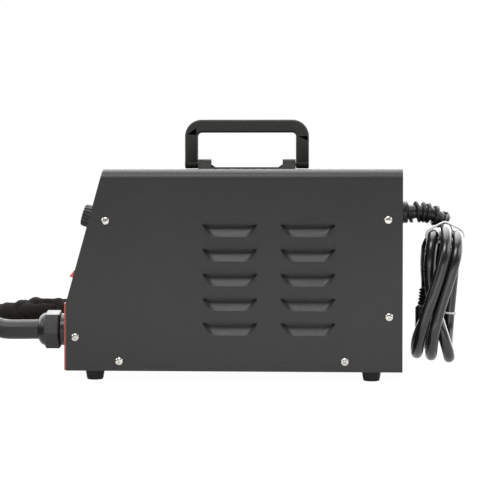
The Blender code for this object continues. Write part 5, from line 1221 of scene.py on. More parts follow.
# ---- case ------------------------------------------------------------------------------------------
@dataclass
class Cover:
    """Folded steel cover with louvres pressed inwards, open along their top edges."""

    columns: tuple[float, float] = (X_REAR - 0.1899, X_REAR - 0.1039)
    rows: int = 5
    top_row: float = 0.1740
    pitch: float = 0.0272
    width: float = 0.0606
    floor_width: float = 0.0400
    height: float = 0.0138
    depth: float = 0.0047
    margin: float = 0.0022
    lip: float = 0.0004
    side_slope: float = 0.0058
    floor_slope: float = 1.08
    shares: tuple[float, ...] = (0.0, 0.10, 0.20, 0.32, 0.45, 0.58, 0.70, 0.80, 0.88, 0.94, 0.98, 1.0)
    near_half: tuple[float, ...] = (-1.0, -0.975, -0.94, -0.89, -0.82, -0.72, -0.58, -0.40, -0.20)
    weld: float = 0.00001
    middle_z: float = 0.12
    wall_margin: float = 0.001

    @property
    def across(self) -> list[float]:
        """Steps across a louvre, in shares of its half width."""
        return [*self.near_half, 0.0, *(-step for step in reversed(self.near_half))]

    def half_width(self, share: float) -> float:
        """Half the louvre's width at a share of its height below the cut edge."""
        half, low = self.width / 2, self.floor_width / 2
        steps = ((0.0, half), (0.18, half * 0.975), (0.45, half * 0.86 + low * 0.06), (0.72, low * 1.24),
                 (0.88, low * 1.08), (0.96, low * 0.94), (1.0, low * 0.80))
        for (start, one), (end, other) in zip(steps, steps[1:]):
            if share <= end:
                return one + (other - one) * (share - start) / (end - start)
        return steps[-1][1]

    def patch(self) -> bpy.types.Object:
        """One louvre with a flat rim, in X and Z about the middle of its cut edge, facing -Y."""
        side = self.width / 2 + self.margin
        shape = bmesh.new()
        rows = []
        for share in self.shares:
            half = self.half_width(share)
            rising = math.sin(math.pi / 2 * min(1.0, (1 - share) * self.floor_slope))
            row = [shape.verts.new((-side, 0.0, -share * self.height))]
            for step in self.across:
                inner = (1 - abs(step)) * half
                press = math.sin(math.pi / 2 * min(1.0, inner / self.side_slope)) * rising
                row.append(shape.verts.new((step * half, self.depth * press, -share * self.height)))
            row.append(shape.verts.new((side, 0.0, -share * self.height)))
            rows.append(row)
        rows.append([shape.verts.new((vert.co.x, 0.0, -self.height - self.margin)) for vert in rows[-1]])
        wall = [rows[0][0], rows[0][1]]
        wall += [shape.verts.new((vert.co.x, -self.lip, 0.0)) for vert in rows[0][2:-2]]
        wall += [rows[0][-2], rows[0][-1]]
        high = [shape.verts.new((vert.co.x, 0.0, self.margin)) for vert in wall]
        for upper, lower in [(high, wall), *zip(rows, rows[1:])]:
            for i in range(len(upper) - 1):
                shape.faces.new((upper[i], lower[i], lower[i + 1], upper[i + 1]))
        return object_from("louvre", shape, outward=False)

    def rim(self, x: float, z: float) -> Outline:
        """Outline of one louvre's patch on the side wall, with the patch's own corners."""
        side = self.width / 2 + self.margin
        top, low = ([-side, *(step * self.half_width(share) for step in self.across), side] for share in (0.0, 1.0))
        heights = [-share * self.height for share in self.shares]
        points = [(x + step, z + self.margin) for step in top]
        points += [(x + side, z + height) for height in heights]
        points += [(x + step, z - self.height - self.margin) for step in reversed(low)]
        points += [(x - side, z + height) for height in reversed(heights)]
        return points

    def build(self) -> bpy.types.Object:
        """Make the whole cover."""
        top = Z_TOP - BEND
        outline = [(X_EDGE, Z_BASE), (X_REAR, Z_BASE), (X_REAR, top), (edge_x(top), top), (X_EDGE, Z_BREAK)]
        places = [(x, self.top_row - row * self.pitch) for x in self.columns for row in range(self.rows)]
        points, faces = filled([outline, *(self.rim(x, z) for x, z in places)])
        shape = bmesh.new()
        for side in (-1, 1):
            verts = [shape.verts.new((x, side * Y_SIDE, z)) for x, z in points]
            for face in faces:
                shape.faces.new([verts[i] for i in face])
        steps = 10
        section = [(side * (Y_SIDE - BEND) + side * BEND * math.cos(math.pi / 2 * i / steps),
                    top + BEND * math.sin(math.pi / 2 * i / steps))
                   for side, order in ((-1, range(steps + 1)), (1, range(steps, -1, -1))) for i in order]
        ends = [[shape.verts.new((edge_x(z) if front else X_REAR, y, z)) for y, z in section]
                for front in (True, False)]
        for i in range(len(section) - 1):
            shape.faces.new((ends[0][i], ends[1][i], ends[1][i + 1], ends[0][i + 1]))
        bmesh.ops.remove_doubles(shape, verts=shape.verts, dist=self.weld)
        for face in shape.faces:
            middle = face.calc_center_median()
            face.normal_update()
            on_top = abs(middle.y) < Y_SIDE - self.wall_margin
            outward = Vector((0.0, middle.y, middle.z - self.middle_z if on_top else 0.0))
            if face.normal.dot(outward) < 0:
                face.normal_flip()
        base = object_from("cover_sheet", shape, outward=False)
        frames = [Matrix.Translation((x, -Y_SIDE, z)) for x, z in places]
        frames += [Matrix.Translation((x, Y_SIDE, z)) @ Matrix.Rotation(math.pi, 4, "Z") for x, z in places]
        made = copies("case_cover", self.patch(), frames, POWDER, base, 2 * self.weld)
        sheet = made.modifiers.new("sheet", "SOLIDIFY")
        sheet.thickness = SHEET
        sheet.offset = -1.0
        sheet.use_even_offset = False
        made = flattened(smooth(applied(made), 50.0))
        return dress(made, POWDER, Body.HOUSING, "cover")


@dataclass
class CoverScrews:
    """Twelve pan head machine screws with cross recesses."""

    from_front: tuple[tuple[float, float], ...] = ((0.0464, 0.1779), (0.0124, 0.0489), (0.0614, 0.0225))
    from_rear: tuple[tuple[float, float], ...] = ((0.0632, 0.0231), (0.0147, 0.0726), (0.0160, 0.1792))
    turns: tuple[float, ...] = (38.0, 52.0, 20.0, 64.0, 44.0, 31.0)
    radii: tuple[float, ...] = (0.0007, 0.0013, 0.0018, 0.0023, 0.0027, 0.0031, 0.0036, 0.0040, 0.0043, 0.0044, 0.0044)
    rise: float = 0.0024
    dome_radius: float = 0.00475
    rim: float = 0.0004
    recess: float = 0.0023
    recess_depth: float = 0.0015
    slot_half: float = 0.00035
    shank_radius: float = 0.0020
    shank_length: float = 0.0075
    clearance: float = 0.0003
    sides: int = 32

    def height(self, radius: float, x: float, y: float) -> float:
        """Height of the head at a place, with the cross recess sunk into its dome."""
        dome = self.rise * math.sqrt(max(0.0, 1 - (radius / self.dome_radius) ** 2.6))
        slot = max(0.0, 1 - max(0.0, min(abs(x), abs(y)) - self.slot_half) / self.slot_half)
        reach = max(0.0, min(1.0, (self.recess - max(abs(x), abs(y))) / 0.0005))
        return dome - self.recess_depth * min(1.0, slot) * reach

    def screw(self) -> bpy.types.Object:
        """One screw along Z."""
        shape = bmesh.new()
        rings = []
        for radius in self.radii[:-2]:
            places = [on_circle(radius, math.tau * i / self.sides) for i in range(self.sides)]
            rings.append([shape.verts.new((x, y, self.height(radius, x, y))) for x, y in places])
        for radius, height in zip(self.radii[-2:], (self.rim, 0.0)):
            rings.append(ring_of(shape, radius, height, self.sides))
        centre = shape.verts.new((0.0, 0.0, self.rise - self.recess_depth))
        for i in range(self.sides):
            shape.faces.new((centre, rings[0][i], rings[0][(i + 1) % self.sides]))
        rings.append(ring_of(shape, self.shank_radius, 0.0, self.sides))
        rings.append([shape.verts.new((vert.co.x, vert.co.y, -self.shank_length)) for vert in rings[-1]])
        for one, other in zip(rings, rings[1:]):
            skin(shape, one, other)
        shape.faces.new(list(reversed(rings[-1])))
        return object_from("screw", shape)

    def build(self) -> bpy.types.Object:
        """Make all the screws."""
        places = [(X_FRONT + x, z) for x, z in self.from_front] + [(X_REAR - x, z) for x, z in self.from_rear]
        frames = []
        for side in (-1, 1):
            for (x, z), turn in zip(places, self.turns):
                frame = frame_at((x, side * (Y_SIDE + self.clearance), z), (0.0, side, 0.0), (0.0, 0.0, 1.0))
                frames.append(frame @ Matrix.Rotation(math.radians(turn * side), 4, "Z"))
        made = smooth(copies("cover_screws", self.screw(), frames, NICKEL), 40.0)
        nodes = [f"cover_screw_{side}_{i}" for side in ("near", "far") for i in range(1, 7)]
        return dress(made, NICKEL, Body.HOUSING, *nodes)


@dataclass
class Case:
    """Base pan, front and rear panels and the feet."""

    foot_x: tuple[float, float] = (X_FRONT + 0.0317, X_REAR - 0.0337)
    foot_y: float = 0.055
    foot_profile: tuple[tuple[float, float], ...] = (
        (0.0, 0.0159), (0.0032, 0.0159), (0.0032, 0.0114), (0.0102, 0.0114), (0.0106, 0.0110), (0.01055, 0.0100),
        (0.0092, 0.0018), (0.0088, 0.0008), (0.0080, 0.0002), (0.0068, 0.0), (0.0044, 0.0), (0.0040, 0.0006),
        (0.0034, 0.0012), (0.0, 0.0012))

    def build(self) -> None:
        """Make the pieces."""
        Cover().build()
        CoverScrews().build()
        dressed_node("case_pan", "base_pan", POWDER, 0.0003, 1)
        dressed_node("red_front", "front_panel", RED, 0.0007, 3)
        dressed_node("rear_plate", "rear_panel", POWDER, 0.0003)
        foot = turned("foot", self.foot_profile, Matrix.Identity(4), 40)
        frames = [Matrix.Translation((x, y, 0.0)) for x in self.foot_x for y in (-self.foot_y, self.foot_y)]
        made = smooth(copies("rubber_feet", foot, frames, FOOT_RUBBER), 35.0)
        nodes = [f"foot_{end}_{side}" for end in ("front", "rear") for side in ("near", "far")]
        dress(made, FOOT_RUBBER, Body.HOUSING, *nodes)


# ---- handle ----------------------------------------------------------------------------------------
@dataclass
class Handle:
    """Folding carrying handle on its hinge base."""

    x: float = 0.0120
    span: float = 0.1413
    rise: float = 0.0564
    bar: float = 0.0148
    thickness: float = 0.0110
    corner: float = 0.0190
    hinge_z: float = Z_TOP + 0.0062
    pin_profile: tuple[tuple[float, float], ...] = ((0.0, 0.0), (0.0019, 0.0), (0.0025, 0.0005), (0.0025, 0.0290),
                                                    (0.0, 0.0290))

    def build(self) -> None:
        """Make grip, base and pins."""
        left, right = self.x - self.span / 2, self.x + self.span / 2
        top, inner = Z_TOP + self.rise, self.corner - self.bar
        outline = [(left, self.hinge_z), *arc((left + self.corner, top - self.corner), self.corner, 180, 90, 14),
                   *arc((right - self.corner, top - self.corner), self.corner, 90, 0, 14), (right, self.hinge_z),
                   (right - self.bar, self.hinge_z), *arc((right - self.corner, top - self.corner), inner, 0, 90, 8),
                   *arc((left + self.corner, top - self.corner), inner, 90, 180, 8), (left + self.bar, self.hinge_z)]
        side_plane = Matrix(((1, 0, 0, 0), (0, 0, -1, 0), (0, 1, 0, 0), (0, 0, 0, 1)))
        half = self.thickness / 2
        grip = bevelled(extruded("grip", [outline], -half, half, side_plane), 0.0026, 5, 60.0)
        ends = []
        for side in (-1, 1):
            middle = self.x + side * (self.span - self.bar) / 2
            frame = frame_at((middle, 0.0, self.hinge_z), (1.0, 0.0, 0.0))
            reach = self.bar / 2
            profile = [(0.0, -reach), (half - 0.0009, -reach), (half - 0.0001, -reach + 0.0008),
                       (half - 0.0001, reach - 0.0008), (half - 0.0009, reach), (0.0, reach)]
            ends.append(turned("grip_end", profile, frame, 40))
        dress(smooth(joined("carry_grip", [grip, *ends]), 40.0), GRIP, Body.HANDLE, "handle_grip")
        dressed_node("grip_hinge_base", "handle_base", GRIP, 0.0007, 3)
        for side, name in ((-1, "front"), (1, "rear")):
            outer = self.x + side * (self.span / 2 - 0.0006)
            frame = frame_at((outer, 0.0, self.hinge_z), (-side, 0.0, 0.0))
            pin = turned(f"hinge_pin_{name}", self.pin_profile, frame, 28)
            dress(pin, ZINC, Body.HOUSING, f"handle_pin_{name}")


# ---- controls --------------------------------------------------------------------------------------
@dataclass
class Controls:
    """Current knob, power switch and lamps on the slope."""

    knob_up: float = 0.0969
    knob_y: float = -0.0340
    knob_radius: float = 0.01325
    knob_height: float = 0.0130
    flutes: int = 18
    flute_depth: float = 0.0012
    gap: float = 0.0010
    shaft_radius: float = 0.0032
    shaft_depth: float = 0.0105
    pointer_half: float = 0.0007
    lamp_y: tuple[float, float] = (0.0160, 0.0360)
    lens_profile: tuple[tuple[float, float], ...] = (
        (0.0, 0.0036), (0.0008, 0.00355), (0.0015, 0.0033), (0.0021, 0.0029), (0.0026, 0.0022), (0.0028, 0.0014),
        (0.0028, -0.0118), (0.0, -0.0118))
    bezel_profile: tuple[tuple[float, float], ...] = (
        (0.0029, 0.0003), (0.0029, 0.0011), (0.0033, 0.0014), (0.0038, 0.0012), (0.0040, 0.0007), (0.0040, 0.0003))

    def knob(self) -> bpy.types.Object:
        """Fluted knob with a raised rim, a sunk cap and a pointer groove."""
        frame = slope_frame(self.knob_up, self.knob_y)
        sides = self.flutes * 12
        top, radius = self.gap + self.knob_height, self.knob_radius
        profile = [(self.shaft_radius, self.gap, 0.0), (radius * 0.955, self.gap, 0.0), (radius * 0.995, 0.0016, 0.0),
                   (radius, 0.0026, 0.0), (radius * 0.985, 0.0034, 1.0), (radius * 0.93, top - 0.0022, 1.0),
                   (radius * 0.905, top - 0.0010, 0.8), (radius * 0.86, top - 0.0003, 0.3), (radius * 0.80, top, 0.0),
                   (radius * 0.70, top, 0.0), (radius * 0.66, top - 0.0005, 0.0), (radius * 0.30, top - 0.0006, 0.0)]
        shape = bmesh.new()
        rings = []
        for reach, height, flute in profile:
            ring = []
            for i in range(sides):
                angle = math.tau * i / sides
                wave = abs(math.sin(self.flutes * angle / 2))
                depth = self.flute_depth * flute * (1 - min(1.0, wave * 1.5) ** 1.6)
                ring.append(shape.verts.new((*on_circle(reach - depth, angle), height)))
            rings.append(ring)
        for one, other in zip(rings, rings[1:]):
            skin(shape, one, other, flip=True)
        shape.faces.new(rings[-1])
        bore = ring_of(shape, self.shaft_radius, self.shaft_depth, sides)
        skin(shape, rings[0], bore)
        shape.faces.new(list(reversed(bore)))
        knob = smooth(object_from("knob_cap", shape, frame), 40.0)
        half, low, high = self.pointer_half, radius * 0.34, radius * 0.78
        pointer = extruded("pointer", [[(-half, low), (half, low), (half, high), (-half, high)]], top - 0.0008,
                           top + 0.0002, frame)
        dress(bevelled(pointer, 0.0002, 2), TIE_WHITE, Body.KNOB)
        return dress(knob, KNOB_BLACK, Body.KNOB, "current_knob")

    def rocker(self) -> None:
        """Switch bezel and the red rocker with its two dished halves."""
        dressed_node("switch_bezel", "switch_housing", DULL_BLACK, 0.0005, 3)
        dressed_node("red_rocker", "switch_rocker", RED_LENS, 0.0009, 4, Body.ROCKER)

    def lamps(self) -> None:
        """Two lamps with domed lenses in black bezels."""
        for number, y in enumerate(self.lamp_y, 1):
            frame = slope_frame(self.knob_up, y)
            lens = turned(f"lamp_lens_{number}", self.lens_profile, frame, 40)
            ring = turned(f"lamp_bezel_{number}", self.bezel_profile, frame, 40)
            dress(lens, RED_LENS, Body.HOUSING, f"lamp_{number}")
            dress(ring, DULL_BLACK, Body.HOUSING)

    def build(self) -> None:
        """Make all controls."""
        self.knob()
        self.rocker()
        self.lamps()
        paint_node("potentiometer", ZINC)


# ---- glands ----------------------------------------------------------------------------------------
@dataclass
class EarthGland:
    """Nylon cable gland: collar, domed hexagon nut and locknut."""

    y: float = -0.0400
    z: float = 0.0545
    collar: float = 0.0083
    collar_radius: float = 0.0180
    nut_flats: float = 0.0392
    nut_length: float = 0.0172
    nut_turn: float = math.radians(21)
    dome: float = 0.0078
    dome_radius: float = 0.0186
    bore: float = 0.0113
    wall: float = 0.0024
    thread: float = 0.0155
    locknut: float = 0.0180
    inside: float = -0.0028

    def build(self) -> list[bpy.types.Object]:
        """Make body and nut."""
        frame = front_frame(self.y, self.z)
        core, high = self.bore + self.wall, self.collar + 0.012
        collar, thread, locknut, inside = self.collar_radius, self.thread, self.locknut, self.inside
        profile = [(core, high), (core, self.collar), (collar - 0.0008, self.collar), (collar, self.collar - 0.0008),
                   (collar, 0.0009), (collar - 0.0007, 0.0003), (thread, 0.0003), (thread, inside),
                   (locknut - 0.0004, inside), (locknut, inside - 0.0005), (locknut, inside - 0.0045),
                   (locknut - 0.0004, inside - 0.005), (thread, inside - 0.005), (thread, inside - 0.009),
                   (self.bore, inside - 0.009), (self.bore, high)]
        body = turned("gland_sleeve", profile, frame, 64)
        start = self.collar + 0.0003
        end = start + self.nut_length
        corner = self.nut_flats / 2 / math.cos(math.pi / 6)
        hexagon = frame @ Matrix.Rotation(self.nut_turn, 4, "Z")
        nut = turned("nut_hexagon", [(core + 0.0004, start), (corner * 0.93, start), (corner, start + 0.0014),
                                     (corner, end - 0.0014), (corner * 0.93, end), (core + 0.0004, end)], hexagon, 6)
        nut = bevelled(nut, 0.0007, 3, 20.0)
        radius, tip = self.dome_radius, end + self.dome
        steps = [(self.bore + 0.0002, end - 0.004), (self.bore + 0.0002, tip - 0.0008), (self.bore + 0.0010, tip),
                 (radius * 0.64, tip - 0.0001), (radius * 0.74, tip - 0.0008), (radius * 0.84, tip - 0.0022),
                 (radius * 0.92, tip - 0.0040), (radius * 0.97, tip - 0.0058), (radius, end + 0.0002),
                 (radius * 0.97, end - 0.0004), (radius * 0.97, end - 0.004)]
        dome = turned("nut_dome", steps, frame, 64)
        whole = joined("gland_cap", [nut, dome])
        return [dress(body, NYLON, Body.HOUSING, "gland_body"), dress(whole, NYLON, Body.HOUSING, "gland_nut")]


# ---- tools at the leads' ends ----------------------------------------------------------------------
@dataclass
class EarthClamp:
    """Spring clamp at the end of the earth lead."""

    pin_radius: float = 0.0030
    pin_edge: float = 0.0005
    wire: float = 0.0011
    curls: int = 3
    curl_radius: float = 0.0046
    curl_steps: int = 40

    def build(self) -> list[object]:
        """Make arms, pin and spring."""
        fixed = dressed_node("clamp_jaw_fixed", "clamp_fixed_arm", ZINC, 0.0007)
        moving = dressed_node("clamp_jaw_moving", "clamp_moving_arm", ZINC, 0.0007, 2, Body.JAW)
        low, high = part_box("clamp_pin")
        middle = (low + high) / 2
        radius, inner = self.pin_radius, self.pin_radius - self.pin_edge
        profile = [(0.0, low.z), (inner, low.z), (radius, low.z + 0.0004), (radius, high.z - 0.0004),
                   (inner, high.z), (0.0, high.z)]
        pin = turned("clamp_rivet", profile, Matrix.Translation((middle.x, middle.y, 0.0)), 32)
        dress(pin, BRASS, Body.HOUSING, "clamp_pin")
        low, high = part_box("clamp_spring")
        wire, count = self.wire, self.curl_steps * self.curls
        points = []
        for i in range(count + 1):
            x, y = on_circle(self.curl_radius, math.tau * i / self.curl_steps)
            height = low.z + wire + (high.z - low.z - 2 * wire) * i / count
            points.append(Vector((middle.x + x, middle.y + y, height)))
        spring = dress(bar("clamp_coil_spring", points, wire, 12, ZINC), ZINC, Body.HOUSING, "clamp_spring")
        return [fixed, moving, pin, spring]


@dataclass
class Torch:
    """Cutting torch at the end of the sleeved lead."""

    def build(self) -> list[object]:
        """Make handle, head, cup and trigger."""
        handle = dressed_node("torch_grip", "torch_handle", GRIP, 0.0006)
        head = dressed_node("torch_neck", "torch_head", KNOB_BLACK, 0.0012, 3)
        cup = dressed_node("torch_nozzle_cup", "torch_cup", CERAMIC, 0.0004)
        trigger = dressed_node("torch_button", "torch_trigger", RED_LENS, 0.0010, 3, Body.TRIGGER)
        return [handle, head, cup, trigger]


# ---- mains lead ------------------------------------------------------------------------------------
@dataclass
class MainsLead:
    """Mains cord with its spiral strain relief, the tied hank, the plug and the ties."""

    z: float = 0.1865
    diameter: float = 0.0127
    collar_x: float = X_REAR - 0.0012
    middle_y: float = -0.0220
    bend: float = 0.0380
    bottoms: tuple[tuple[float, float], ...] = ((X_REAR + 0.0180, 0.0276), (X_REAR + 0.0337, 0.0261),
                                                (X_REAR + 0.0539, 0.0239))
    tops: tuple[tuple[float, float], ...] = ((X_REAR + 0.0489, 0.1678), (X_REAR + 0.0623, 0.1611),
                                             (X_REAR + 0.0355, 0.1611))
    bows: tuple[float, ...] = (0.0010, -0.0020, -0.0105)
    behind: tuple[float, ...] = (0.0, 0.0068, 0.0225)
    entry: Point = (X_REAR + 0.0535, 0.0330, 0.1180)
    plug_at: Point = (X_REAR + 0.0320, 0.0560, 0.0980)
    knots: tuple[Point, ...] = (
        (0.1778, 0.0, 0.1865), (0.1858, 0.0, 0.1865), (0.1948, 0.0, 0.1865), (0.2040, 0.0, 0.1869),
        (0.2140, 0.0, 0.1863), (0.2232, 0.0005, 0.1839), (0.2310, 0.0022, 0.1794), (0.2372, 0.0060, 0.1732),
        (0.2408, 0.0125, 0.1655), (0.2424, 0.0205, 0.1560), (0.2420, 0.0285, 0.1450))
    tail: tuple[Point, ...] = ((0.2176, 0.0120, 0.1485), (0.2172, 0.0260, 0.1390), (0.2172, 0.0390, 0.1290),
                               (0.2178, 0.0505, 0.1180), (0.2190, 0.0560, 0.1070))
    relief_end: float = 0.0520
    relief_start: float = 0.0069
    relief_collar: float = 0.0127
    relief_neck: float = 0.0085
    relief_ring: float = 0.0094
    relief_sleeve: float = 0.0078
    rib_radius: float = 0.0021
    curl_radius: float = 0.0106
    curls: int = 5
    curl_steps: int = 36
    tie_wire: float = 0.0012

    def run_point(self, share: float, start: tuple[float, float], end: tuple[float, float], side: int,
                  dive: float = 0.0, bow: float = 0.0) -> Vector:
        """Point of a hank's run: a quarter bend, a straight and a quarter bend.

        Args:
            share: Share of the run's length.
            start: X and Z of the bend where it starts.
            end: X and Z of the bend where it ends.
            side: -1 for a near run, 1 for a far one.
            dive: How far its middle goes behind.
            bow: How far its middle bows to the rear.

        Returns:
            The point.
        """
        height = end[1] - start[1]
        rise, bend = abs(height), self.bend
        quarter = math.pi / 2 * bend
        straight = rise - 2 * bend
        distance = share * (2 * quarter + straight)
        if distance < quarter:
            angle = distance / bend
            out, up = bend * math.sin(angle), bend * (1 - math.cos(angle))
        elif distance < quarter + straight:
            out, up = bend, bend + distance - quarter
        else:
            angle = (distance - quarter - straight) / bend
            out, up = bend * math.cos(angle), rise - bend + bend * math.sin(angle)
        part = up / rise
        x = start[0] + (end[0] - start[0]) * ease(part) + bow * math.sin(math.pi * part)
        return Vector((x, self.middle_y + side * (out - dive * math.sin(math.pi * share)),
                       start[1] + math.copysign(up, height)))

    def hank(self, count: int = 40) -> list[Vector]:
        """Three loops: down behind, round the lower bend, up in front and over the upper bend."""
        entry = Vector(self.entry)
        near = self.middle_y - self.bend
        first = (entry.y - near) / 2
        middle = (entry.y + near) / 2
        bottom = self.bottoms[0]
        drop = entry.z - bottom[1] - first
        points = []
        for i in range(13):
            share = i / 12
            x = entry.x + (bottom[0] - entry.x) * ease(share * drop / (drop + first))
            points.append(Vector((x, entry.y, entry.z - drop * share)))
        for i in range(1, 19):
            angle = math.pi / 2 * i / 18
            part = (drop + first * math.sin(angle)) / (drop + first)
            points.append(Vector((entry.x + (bottom[0] - entry.x) * ease(part), middle + first * math.cos(angle),
                                  bottom[1] + first * (1 - math.sin(angle)))))
        for number, top in enumerate(self.tops):
            bottom = self.bottoms[number]
            for i in range(1, count + 1):
                share = i / count
                point = self.run_point(share, bottom, top, -1, self.behind[number], self.bows[number])
                if number == 0:
                    point.y += (middle - self.middle_y) * max(0.0, 1 - share * 2.2)
                points.append(point)
            if number + 1 < len(self.tops):
                points += [self.run_point(i / count, top, self.bottoms[number + 1], 1) for i in range(1, count + 1)]
        points.append(points[-1] + Vector((-0.0010, 0.0135, -0.0022)))
        return points

    def route(self) -> list[Vector]:
        """The cord's whole path, from inside the rear panel to the plug."""
        hank = self.hank()
        back = (hank[0] - hank[1]).normalized()
        run = smooth_route([*self.knots, hank[0] + back * self.diameter, hank[0]], 0.003)
        way = (hank[-1] - hank[-2]).normalized()
        tail = smooth_route([hank[-1], hank[-1] + way * 0.006, *self.tail, self.plug_at], 0.003)
        return even([*run, *hank[1:], *tail[1:]], 0.0035)

    def relief(self, path: list[Vector]) -> bpy.types.Object:
        """Collar at the panel, spiral rib and end ring of the strain relief.

        Args:
            path: The cord's path.

        Returns:
            The piece.
        """
        frame = frame_at((self.collar_x, 0.0, self.z), (1.0, 0.0, 0.0))
        bore, outer, neck = self.diameter / 2 + 0.0001, self.relief_collar, self.relief_neck
        profile = [(outer * 0.60, 0.0098), (outer * 0.92, 0.0092), (outer, 0.0080), (outer, 0.0006),
                   (outer - 0.0006, 0.0), (neck, 0.0), (neck, -0.0018), (neck + 0.0025, -0.0018),
                   (neck + 0.0012, -0.0058), (bore, -0.0058), (bore, 0.0098)]
        collar = turned("relief_collar", profile, frame, 48)
        along = distances(path)

        def station(distance: float) -> tuple[Vector, Vector]:
            """Point and direction on the cord at a distance from the panel."""
            distance += 0.0080
            index = min(max(1, sum(1 for a in along if a < distance)), len(path) - 2)
            direction = (path[index + 1] - path[index - 1]).normalized()
            share = (distance - along[index - 1]) / (along[index] - along[index - 1])
            return path[index - 1].lerp(path[index], share), direction

        points = []
        count = self.curl_steps * self.curls
        for i in range(count + 1):
            share = i / count
            eased = share + 0.07 * math.sin(math.tau * share)
            centre, direction = station(self.relief_start + (self.relief_end - 0.0020 - self.relief_start) * eased)
            side = direction.cross(Vector((0.0, 1.0, 0.0))).normalized()
            across = direction.cross(side)
            angle = math.tau * i / self.curl_steps
            radius = self.curl_radius - 0.0012 * share
            points.append(centre + side * radius * math.cos(angle) + across * radius * math.sin(angle))
        spiral = bar("relief_rib", points, self.rib_radius, 14, RELIEF_RUBBER)
        centre, direction = station(self.relief_end)
        ring, inner = self.relief_ring, bore + 0.0001
        profile = [(ring + 0.0008, 0.0), (ring + 0.0014, -0.0006), (ring + 0.0014, -0.0034), (ring + 0.0008, -0.0040),
                   (inner, -0.0040), (inner, 0.0)]
        end = turned("relief_ring", profile, frame_at(centre, direction), 48)
        sleeve = tube("relief_sleeve", [station(0.004 + 0.044 * i / 20)[0] for i in range(21)], self.relief_sleeve, 28)
        sleeve.data.uv_layers.remove(sleeve.data.uv_layers[0])
        whole = smooth(joined("relief_spiral", [collar, spiral, end, sleeve]), 50.0)
        return dress(whole, RELIEF_RUBBER, Body.HOUSING, "strain_relief")

    def plug(self) -> list[bpy.types.Object]:
        """Moulded plug with grip ribs and a ringed relief, and its brass pins."""
        x, y, z = self.plug_at
        base = z - 0.0200
        low = base - 0.0340
        upright = Matrix.Translation((x, y, 0.0))
        pieces = [bevelled(extruded("plug_block", [rectangle(0.013, 0.013)], low, base, upright), 0.004, 6)]
        for i in range(5):
            height = base - 0.0075 - i * 0.0042
            rib = extruded("plug_rib", [rectangle(0.0128, 0.0098)], height - 0.0008, height + 0.0008, upright)
            pieces.append(bevelled(rib, 0.0006))
        profile = [(0.0, base - 0.003), (0.0105, base - 0.003), (0.0105, base + 0.0010)]
        for i in range(5):
            height = base + 0.0016 + i * 0.0036
            radius = 0.0104 - 0.0004 * i
            profile += [(radius, height), (radius, height + 0.0020), (radius - 0.0016, height + 0.0024),
                        (radius - 0.0016, height + 0.0032)]
        profile += [(0.0070, z - 0.0002), (0.0, z - 0.0002)]
        pieces.append(turned("plug_relief", profile, upright, 40))
        whole = dress(smooth(joined("plug_moulding", pieces), 40.0), RELIEF_RUBBER, Body.HOUSING, "plug")
        pins = []
        for side in (-1, 1):
            frame = Matrix.Translation((x + side * 0.0064, y - 0.003, 0.0))
            blade = extruded("blade", [rectangle(0.0008, 0.0032)], low - 0.0180, low + 0.002, frame)
            pins.append(bevelled(blade, 0.0003))
        profile = [(0.0, low + 0.002), (0.0024, low + 0.002), (0.0024, low - 0.0180), (0.0018, low - 0.0196),
                   (0.0, low - 0.0200)]
        pins.append(turned("pin", profile, Matrix.Translation((x, y + 0.0075, 0.0)), 28))
        brass = dress(smooth(joined("plug_pins", pins), 35.0), BRASS, Body.HOUSING)
        return [whole, brass]

    def ties(self) -> list[bpy.types.Object]:
        """White wire ties, each a closed ring."""
        wire, cord = self.tie_wire, self.diameter / 2
        made = []
        reach = cord + wire + 0.00015
        ring = []
        for i in range(96):
            out = Vector((math.cos(math.tau * i / 96), 0.0, math.sin(math.tau * i / 96)))
            strand = max(self.tops, key=lambda top: top[0] * out.x + top[1] * out.z)
            ring.append(Vector((strand[0], self.middle_y, strand[1])) + out * reach)
        made.append(("upper", even([*ring, ring[0]], 0.0012)[:-1]))
        at = self.run_point(0.62, self.tops[1], self.bottoms[2], 1)
        after = self.run_point(0.66, self.tops[1], self.bottoms[2], 1)
        frame = frame_at(at, after - at)
        radius = cord * 1.06 + wire + 0.0003
        made.append(("lower", [frame @ Vector((*on_circle(radius, math.tau * i / 48), 0.0)) for i in range(48)]))
        return [dress(bar(f"white_tie_{name}", points, wire, 12, TIE_WHITE, True), TIE_WHITE, Body.HOUSING,
                      f"tie_{name}") for name, points in made]

    def build(self) -> None:
        """Make the cord and everything on it."""
        path = self.route()
        cord = dress(tube("mains_cable", path, self.diameter / 2, 24), CORD_PVC, Body.HOUSING,
                     "mains_cord", "mains_hank", "mains_tail")
        pieces = [self.relief(path), *self.plug(), *self.ties()]


# ---- inner parts -----------------------------------------------------------------------------------
@dataclass
class Innards:
    """Fan, heat sink, board, transformer and air valve, seen through the rear slots and from below."""

    board_thickness: float = 0.0018
    margin: float = 0.0004

    def build(self) -> None:
        """Dress the inner parts."""
        dressed_node("fan_shroud", "fan_frame", DULL_BLACK, 0.0005)
        dressed_node("fan_blades", "fan_rotor", KNOB_BLACK, 0.0, 1, Body.FAN)
        dressed_node("finned_heat_sink", "heat_sink", ALUMINIUM, 0.0003, 1)
        dressed_node("transformer_block", "transformer", IRON, 0.0006)
        dressed_node("inlet_valve", "air_valve", BRASS, 0.0004)
        board = dressed_node("power_board", "main_board", BOARD, 0.0004, 1)
        board.data.materials.append(DULL_BLACK.material())
        top = min(vert.co.z for vert in board.data.vertices) + self.board_thickness
        for face in board.data.polygons:
            if face.center.z > top + self.margin:
                face.material_index = 1


